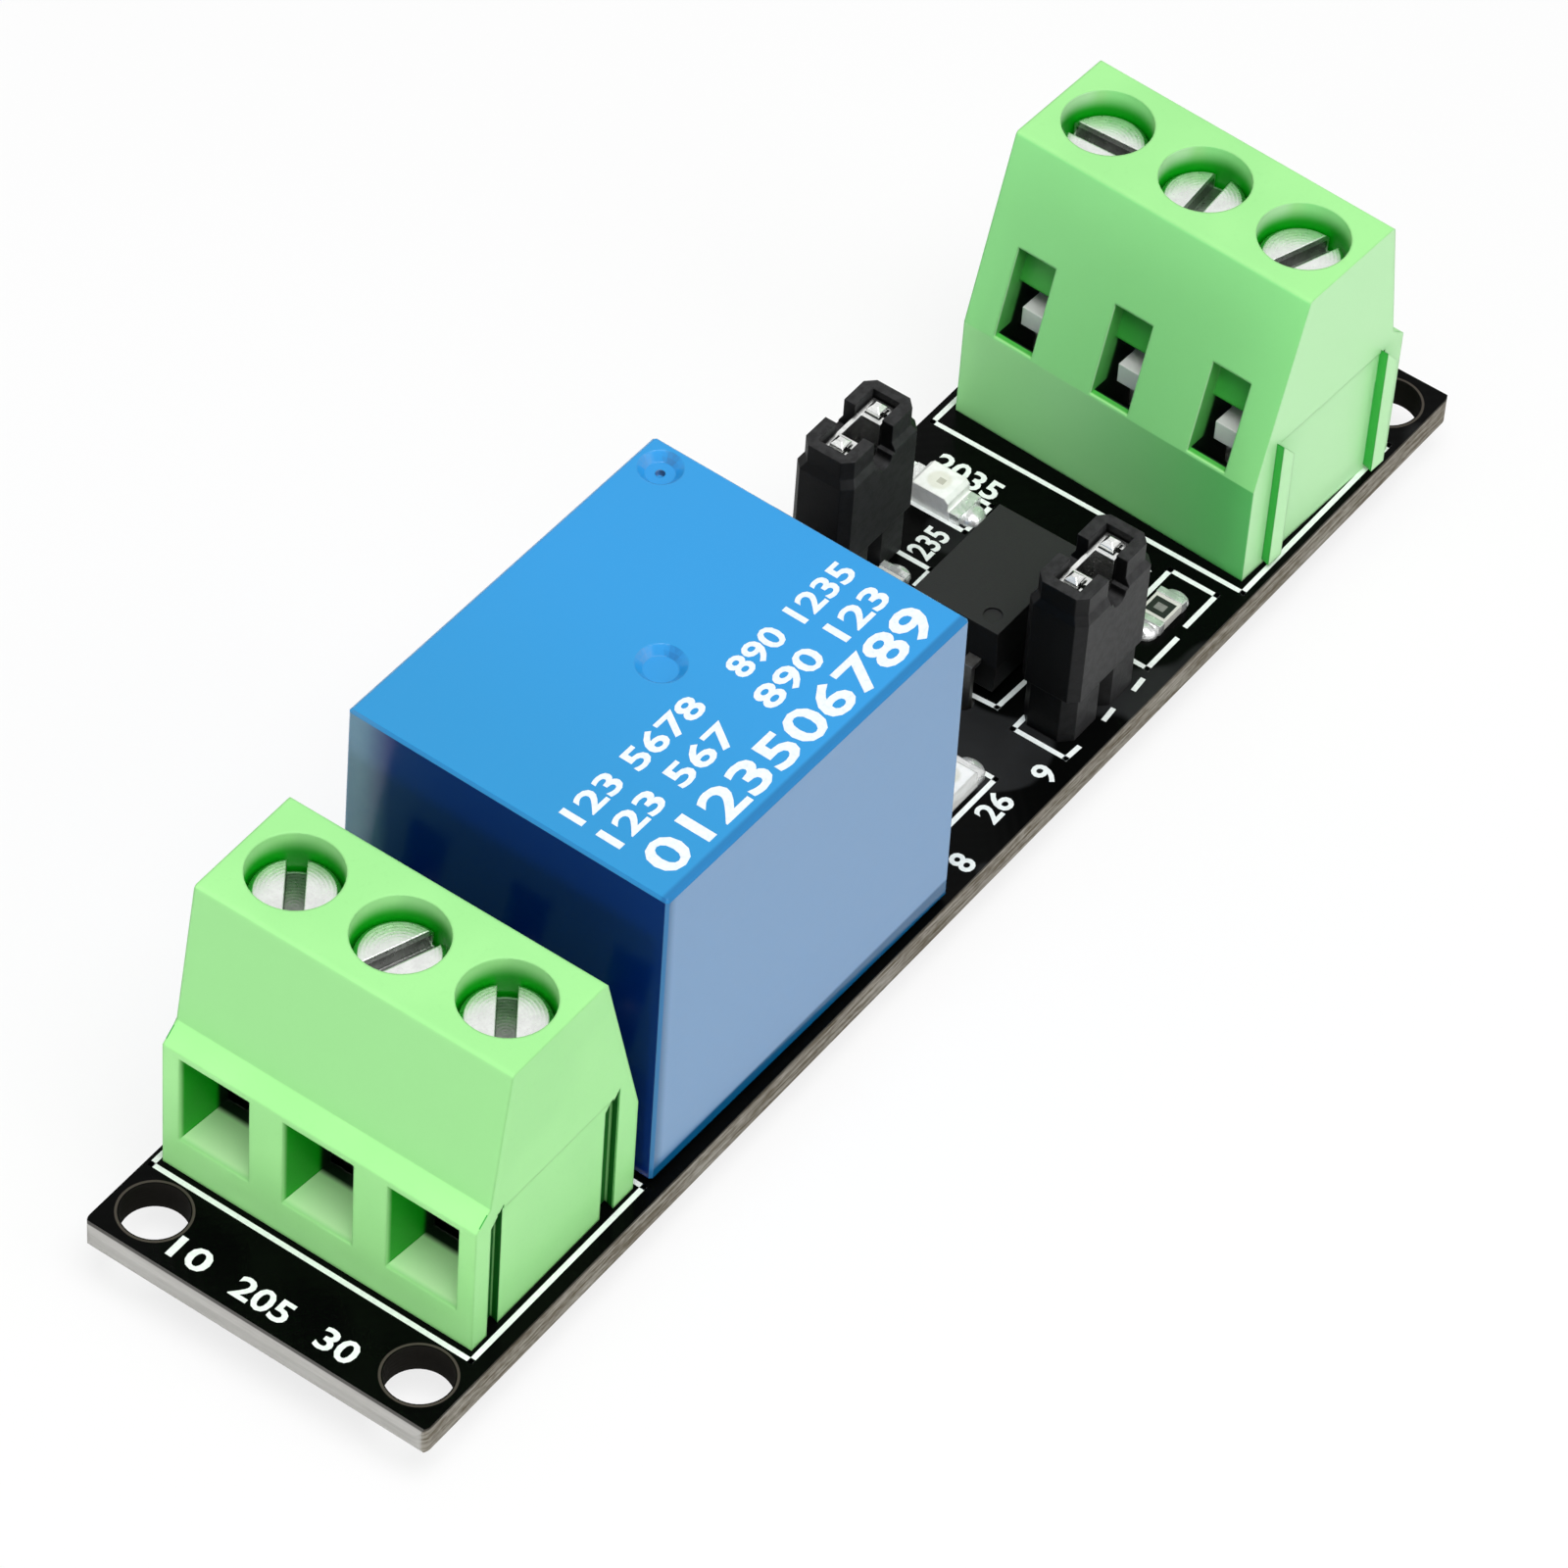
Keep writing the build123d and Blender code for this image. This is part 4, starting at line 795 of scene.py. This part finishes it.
def indicator_finish(name, look, centre, turn):
    """An unlit indicator: milky resin, with the die and its cup showing through the middle."""
    finish = Finish(name)
    point = finish.point()
    u, v = finish.axes(finish.turned(point, centre, turn))[:2]
    radius = (u * u + v * v).root()
    cup = 1.0 - radius.ramp(CUP_INNER_RADIUS, CUP_OUTER_RADIUS)
    die = abs(u + DIE_SHIFT).below(DIE_HALF_SIZE) * abs(v).below(DIE_HALF_SIZE)
    cloud = finish.noise(point, 2.4, 3.0)
    milk = finish.mix(cloud.ramp(0.4, 0.7), tuple(look.resin), tuple(look.haze))
    seen = finish.mix(cup * 0.35, milk, tuple(look.cup))
    finish.set({
        "Base Color": finish.mix(die * 0.5, seen, tuple(look.die)),
        "Roughness": cloud * 0.1 + 0.16,
        "Normal": finish.bump(cloud, 0.02, normal=finish.bevel(0.1)),
        "Coat Weight": 0.4,
    })
    return finish.material


def solder_finish(look):
    """Bright solder with a softly rippled skin."""
    finish = Finish("solder")
    point = finish.point()
    ripple = finish.noise(point, 2.2, 3.0)
    grey = [channel * 0.8 for channel in look.solder]
    finish.set({
        "Base Color": finish.mix(ripple.ramp(0.35, 0.65), grey, tuple(look.solder)),
        "Metallic": 0.6,
        "Roughness": ripple * 0.2 + 0.16,
        "Normal": finish.bump(ripple, 0.05, normal=finish.bevel(0.08)),
    })
    return finish.material


def winding_finish(look):
    """Enamelled wire, wound in even turns, with painted shade between the turns."""
    finish = Finish("copper winding")
    point = finish.point()
    turns = (finish.axes(point)[2] * (2 * math.pi / WIRE_PITCH)).sin() * 0.5 + 0.5
    cloud = finish.noise(point, 1.5)
    # Painted shade between the turns, mixed with an uneven tone.
    dark = [channel * 0.45 for channel in look.copper]
    finish.set({
        "Base Color": finish.mix(turns * 0.6 + cloud * 0.4, dark, tuple(look.copper)),
        "Metallic": 0.8,
        "Roughness": cloud * 0.1 + 0.28,
        "Normal": finish.bump(turns, 0.05),
    })
    return finish.material


def middle_of(node):
    """The middle of a CAD node, in millimetres."""
    low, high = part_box(node)
    return [(a + b) / 2 / MM for a, b in zip(low, high)]


class RELAYBOARD_OT_laminate(bpy.types.Operator):
    """Dresses the bare board and its solder joints"""
    bl_idname = "relayboard.laminate"
    bl_label = "Board"

    def execute(self, context):
        scene = context.scene
        paint("circuit_board", laminate_finish(scene.relayboard_laminate))
        solder = solder_finish(scene.relayboard_small)
        for node in ("solder_joints", "chip_resistor_ends", "power_led_ends", "relay_led_ends"):
            paint(node, solder)
        return {"FINISHED"}


class RELAYBOARD_OT_print(bpy.types.Operator):
    """Prints the white outlines and plain numbers on the board"""
    bl_idname = "relayboard.print"
    bl_label = "Board print"

    def execute(self, context):
        look = context.scene.relayboard_laminate
        plane = place_of(0, 0, BOARD_TOP)
        ink = ink_finish("board ink", look.ink)

        def lines(work):
            for outlines in (TERMINAL_FRAMES, POWER_INDICATOR_FRAME, OPTOCOUPLER_CORNERS, RESISTOR_BRACKETS,
                             RELAY_INDICATOR_FRAME, HEADER_MARKS):
                for points in outlines:
                    outline(work, plane, points, look.line, look.ink_height)

        def numbers(work):
            for text, x, y, turn, span in BOARD_NUMBERS:
                digits(work, place_of(x, y, BOARD_TOP, turn), text, look.number, look.ink_height, span)

        piece("board_print_lines", lines, ink, BODY)
        piece("board_print_numbers", numbers, ink, BODY)
        return {"FINISHED"}


class RELAYBOARD_OT_terminals(bpy.types.Operator):
    """Dresses the screw terminals"""
    bl_idname = "relayboard.terminals"
    bl_label = "Screw terminals"

    def execute(self, context):
        look = context.scene.relayboard_terminals
        cage = metal("clamp plating", look.plating, roughness=0.26, grain=(5.0, 5.0, 5.0), grain_height=0.006)
        tin = metal("tinned strip", look.tin, roughness=0.28, grain=(4.0, 4.0, 9.0), grain_height=0.006,
                    metallic=0.1, wear=0.95)
        for side, block in zip(SIDES, (NEAR_BLOCK, FAR_BLOCK)):
            centre = (block[0], block[1], BOARD_TOP)
            screws = screw_finish(side + " screws", look.plating, centre, block[2])
            paint(side + "_terminal_housing", terminal_finish(side + " terminal plastic", look, block))
            for pole in POLES:
                paint("%s_clamp_screw_%d" % (side, pole), screws)
                paint("%s_rising_clamp_%d" % (side, pole), cage)
                paint("%s_terminal_pin_%d" % (side, pole), tin)
        return {"FINISHED"}


class RELAYBOARD_OT_relay(bpy.types.Operator):
    """Dresses the relay, inside and out"""
    bl_idname = "relayboard.relay"
    bl_label = "Relay"

    def execute(self, context):
        look = context.scene.relayboard_relay
        small = context.scene.relayboard_small
        dark = moulded("relay moulding", small.black, small.compound, roughness=0.45, edge_radius=0.08).material
        iron = metal("soft iron", look.iron, roughness=0.34, grain=(3.0, 3.0, 3.0), grain_height=0.006)
        bronze = metal("spring bronze", look.bronze, roughness=0.26, grain=(9.0, 2.0, 2.0), grain_height=0.004)
        silver = metal("contact silver", look.silver, roughness=0.2, grain=(4.0, 4.0, 4.0), grain_height=0.004)
        tin = metal("relay pin tin", context.scene.relayboard_terminals.tin, roughness=0.28,
                    grain=(4.0, 4.0, 9.0), grain_height=0.006)
        paint("relay_case", cover_finish(look))
        paint("relay_winding", winding_finish(look))
        for material, nodes in (
                (dark, ("relay_base", "relay_bobbin")),
                (iron, ("relay_yoke", "relay_core", "relay_armature")),
                (bronze, ("relay_contact_leaf",)),
                (silver, ("relay_moving_contact",)),
                (tin, ("relay_closed_contact", "relay_open_contact", "relay_common_pin", "relay_coil_pins"))):
            for node in nodes:
                paint(node, material)
        self.print_rows(look)
        return {"FINISHED"}

    def print_rows(self, look):
        """Three rows of plain numbers on the cover."""
        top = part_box("relay_case")[1][2] / MM
        place = place_of(RELAY[0], RELAY[1], top, RELAY[2])

        def rows(work):
            for text, x, y, size, span in RELAY_NUMBERS:
                digits(work, place @ place_of(x, y, 0), text, size, RELAY_INK_HEIGHT, span)

        piece("relay_print", rows, ink_finish("relay ink", look.ink), BODY)


class RELAYBOARD_OT_jumpers(bpy.types.Operator):
    """Dresses the headers and jumper caps"""
    bl_idname = "relayboard.jumpers"
    bl_label = "Headers and jumpers"

    def execute(self, context):
        black = scuff_and_painted_light_finish(context.scene.relayboard_small)
        tin = metal("header tin", context.scene.relayboard_terminals.plating, roughness=0.16,
                    grain=(3.0, 3.0, 8.0), grain_height=0.004)
        for side in ("left", "right"):
            paint(side + "_header_base", black)
            paint(side + "_jumper_cap", black)
            paint(side + "_header_pins", tin)
            paint(side + "_jumper_clip", tin)
        return {"FINISHED"}


class RELAYBOARD_OT_chips(bpy.types.Operator):
    """Dresses the chips and adds their solder"""
    bl_idname = "relayboard.chips"
    bl_label = "Chips"

    def execute(self, context):
        look = context.scene.relayboard_small
        compound = self.compound_finish(look)
        # Painted shade: the leads' tin is darkened.
        tin = metal("lead tin", look.painted_shade_lead, roughness=0.34, grain=(5.0, 5.0, 5.0), grain_height=0.004)
        for node in ("optocoupler_body", "transistor_body", "coil_diode_body"):
            paint(node, compound)
        for node in ("optocoupler_leads", "transistor_leads", "coil_diode_leads"):
            paint(node, tin)
        for number, turn in ((1, 0.0), (2, 0.0), (3, CHIP_TURN), (4, CHIP_TURN)):
            node = "chip_resistor_%d" % number
            paint(node, resistor_finish(node + " glaze", look, middle_of(node), turn))
        for node, turn in (("power_led_body", CHIP_TURN), ("relay_led_body", 0.0)):
            paint(node, indicator_finish(node + " resin", look, middle_of(node), turn))
        self.add_solder(look)
        return {"FINISHED"}

    def compound_finish(self, look):
        """Dull moulding compound, grey on top, with painted shade that makes its sides nearly black."""
        def zones(finish, point):
            # Painted shade: the sides are darkened to nearly black.
            return (((1.0 - finish.facing()[2].ramp(0.3, 0.7)) * 0.9, look.black),)

        finish = moulded("moulding compound", look.compound, look.compound, roughness=0.5, edge_radius=0.08,
                         grain=14.0, grain_height=0.008, zones=zones)
        finish.set({"Specular IOR Level": 0.15})
        return finish.material

    def add_solder(self, look):
        """A dome of solder on the pad at each end of a chip."""
        def domes(work):
            for node, turn, reach, width in CHIP_ENDS:
                x, y = middle_of(node)[:2]
                for side, fullness in DOME_FULLNESS:
                    place = place_of(x, y, BOARD_TOP, turn) @ place_of(side * reach, 0, 0)
                    blob(work, place, DOME_LENGTH * fullness, width, DOME_HEIGHT * fullness)

        piece("chip_solder", domes, solder_finish(look), BODY)


class RELAYBOARD_OT_stage(bpy.types.Operator):
    """Sets the camera, the lamps and the pale floor"""
    bl_idname = "relayboard.stage"
    bl_label = "Stage"

    def execute(self, context):
        look = context.scene.relayboard_stage
        self.set_camera(context.scene, look)
        self.set_world(context.scene, look)
        self.add_floor(context.scene, look)
        for name, azimuth, elevation, size in LAMPS:
            self.add_lamp(context.scene, name + " lamp", azimuth, elevation, size, getattr(look, name))
        context.scene.view_settings.view_transform = "Standard"
        return {"FINISHED"}

    def toward(self, azimuth, elevation):
        """The direction of a place round the board: azimuth 0 is on the -Y side."""
        flat = math.cos(elevation)
        return Vector((math.sin(azimuth) * flat, -math.cos(azimuth) * flat, math.sin(elevation)))

    def set_camera(self, scene, look):
        back = self.toward(look.azimuth, look.elevation)
        right = Vector((math.cos(look.azimuth), math.sin(look.azimuth), 0.0))
        up = back.cross(right)
        axes = Matrix((right, up, back)).transposed() @ Matrix.Rotation(look.roll, 3, "Z")
        offset = axes @ Vector((look.aim_right, look.aim_up, look.distance))
        camera = bpy.data.cameras.new("camera")
        camera.lens = look.lens
        camera.sensor_width = 36.0
        camera.shift_x = look.shift_x
        camera.shift_y = look.shift_y
        camera.clip_start = 0.01
        camera.clip_end = 10.0
        seat = bpy.data.objects.new("camera", camera)
        seat.matrix_world = Matrix.Translation((offset + Vector((0, 0, BOARD_TOP))) * MM) @ axes.to_4x4()
        scene.collection.objects.link(seat)
        scene.camera = seat

    def add_lamp(self, scene, name, azimuth, elevation, size, level):
        """A large soft lamp, its level the brightness that it alone would give a white surface."""
        lamp = bpy.data.lights.new(name, "AREA")
        lamp.shape = "DISK"
        lamp.size = size
        lamp.energy = level * math.pi ** 2 * LAMP_DISTANCE ** 2
        away = self.toward(math.radians(azimuth), math.radians(elevation))
        seat = bpy.data.objects.new(name, lamp)
        aim = away.to_track_quat("Z", "Y").to_matrix().to_4x4()
        seat.matrix_world = Matrix.Translation(away * LAMP_DISTANCE) @ aim
        scene.collection.objects.link(seat)

    def set_world(self, scene, look):
        """White to the camera, white low down and grey right overhead in reflections, and even light on surfaces."""
        world = bpy.data.worlds.new("studio")
        world.use_nodes = True
        tree = world.node_tree
        backdrop = next(n for n in tree.nodes if n.type == "BACKGROUND")
        rays = tree.nodes.new("ShaderNodeLightPath")
        place = tree.nodes.new("ShaderNodeTexCoord")
        split = tree.nodes.new("ShaderNodeSeparateXYZ")
        fall = tree.nodes.new("ShaderNodeMapRange")
        fall.inputs["From Min"].default_value = OVERHEAD_START
        fall.inputs["From Max"].default_value = OVERHEAD_END
        fall.inputs["To Min"].default_value = LOW_LEVEL
        fall.inputs["To Max"].default_value = OVERHEAD_LEVEL
        seen = tree.nodes.new("ShaderNodeMix")
        shown = tree.nodes.new("ShaderNodeMix")
        clear = tree.nodes.new("ShaderNodeMath")
        clear.operation = "MAXIMUM"
        links = tree.links
        links.new(place.outputs["Generated"], split.inputs[0])
        links.new(split.outputs[2], fall.inputs["Value"])
        links.new(rays.outputs["Is Glossy Ray"], seen.inputs[0])
        seen.inputs[2].default_value = look.ambient
        links.new(fall.outputs[0], seen.inputs[3])
        links.new(rays.outputs["Is Camera Ray"], clear.inputs[0])
        links.new(rays.outputs["Is Transmission Ray"], clear.inputs[1])
        links.new(clear.outputs[0], shown.inputs[0])
        links.new(seen.outputs[0], shown.inputs[2])
        shown.inputs[3].default_value = 1.0
        links.new(shown.outputs[0], backdrop.inputs["Strength"])
        backdrop.inputs["Color"].default_value = (1.0, 1.0, 1.0, 1.0)
        scene.world = world

    def add_floor(self, scene, look):
        """A wide pale floor under the pins, whitened for the camera so that only the shadow shows."""
        work = bmesh.new()
        bmesh.ops.create_grid(work, x_segments=1, y_segments=1, size=FLOOR_REACH)
        mesh = bpy.data.meshes.new("floor")
        work.to_mesh(mesh)
        work.free()
        mesh.transform(Matrix.Translation((0.0, 0.0, cad_box[0][2])))
        finish = Finish("floor")
        grain = finish.noise(finish.point(), 0.02, 2.0)
        tone = finish.mix(grain, tuple(look.floor), [channel * 0.985 for channel in look.floor])
        finish.set({"Base Color": tone, "Roughness": 0.9, "Specular IOR Level": 0.0})
        glow = finish.node("ShaderNodeEmission", None, {"Color": (1.0, 1.0, 1.0), "Strength": 1.0})
        camera_ray = finish.node("ShaderNodeLightPath")
        blend = finish.tree.nodes.new("ShaderNodeMixShader")
        finish.feed(blend.inputs[0], camera_ray * look.floor_lift)
        finish.tree.links.new(finish.shader.outputs[0], blend.inputs[1])
        finish.feed(blend.inputs[2], glow)
        output = next(n for n in finish.tree.nodes if n.type == "OUTPUT_MATERIAL")
        finish.tree.links.new(blend.outputs[0], output.inputs["Surface"])
        mesh.materials.append(finish.material)
        floor = bpy.data.objects.new("floor", mesh)
        scene.collection.objects.link(floor)


STEPS = (
    RELAYBOARD_OT_laminate,
    RELAYBOARD_OT_print,
    RELAYBOARD_OT_terminals,
    RELAYBOARD_OT_relay,
    RELAYBOARD_OT_jumpers,
    RELAYBOARD_OT_chips,
    RELAYBOARD_OT_stage,
)

LOOKS = (
    ("relayboard_laminate", RelayBoardLaminate),
    ("relayboard_terminals", RelayBoardTerminals),
    ("relayboard_relay", RelayBoardRelay),
    ("relayboard_small", RelayBoardSmallParts),
    ("relayboard_stage", RelayBoardStage),
)


class RELAYBOARD_PT_panel(bpy.types.Panel):
    """Lists the steps and their sizes and colours"""
    bl_idname = "RELAYBOARD_PT_panel"
    bl_label = "Relay board"
    bl_space_type = "VIEW_3D"
    bl_region_type = "UI"
    bl_category = "Relay board"

    def draw(self, context):
        for step in STEPS:
            self.layout.operator(step.bl_idname)
        for name, group in LOOKS:
            column = self.layout.column()
            for key in group.__annotations__:
                column.prop(getattr(context.scene, name), key)


def register():
    for name, group in LOOKS:
        bpy.utils.register_class(group)
        setattr(bpy.types.Scene, name, bpy.props.PointerProperty(type=group))
    for step in STEPS:
        bpy.utils.register_class(step)
    bpy.utils.register_class(RELAYBOARD_PT_panel)


def unregister():
    bpy.utils.unregister_class(RELAYBOARD_PT_panel)
    for step in reversed(STEPS):
        bpy.utils.unregister_class(step)
    for name, group in reversed(LOOKS):
        delattr(bpy.types.Scene, name)
        bpy.utils.unregister_class(group)


def main():
    register()
    for step in STEPS:
        group, name = step.bl_idname.split(".")
        getattr(getattr(bpy.ops, group), name)()


if __name__ == "__main__":
    main()
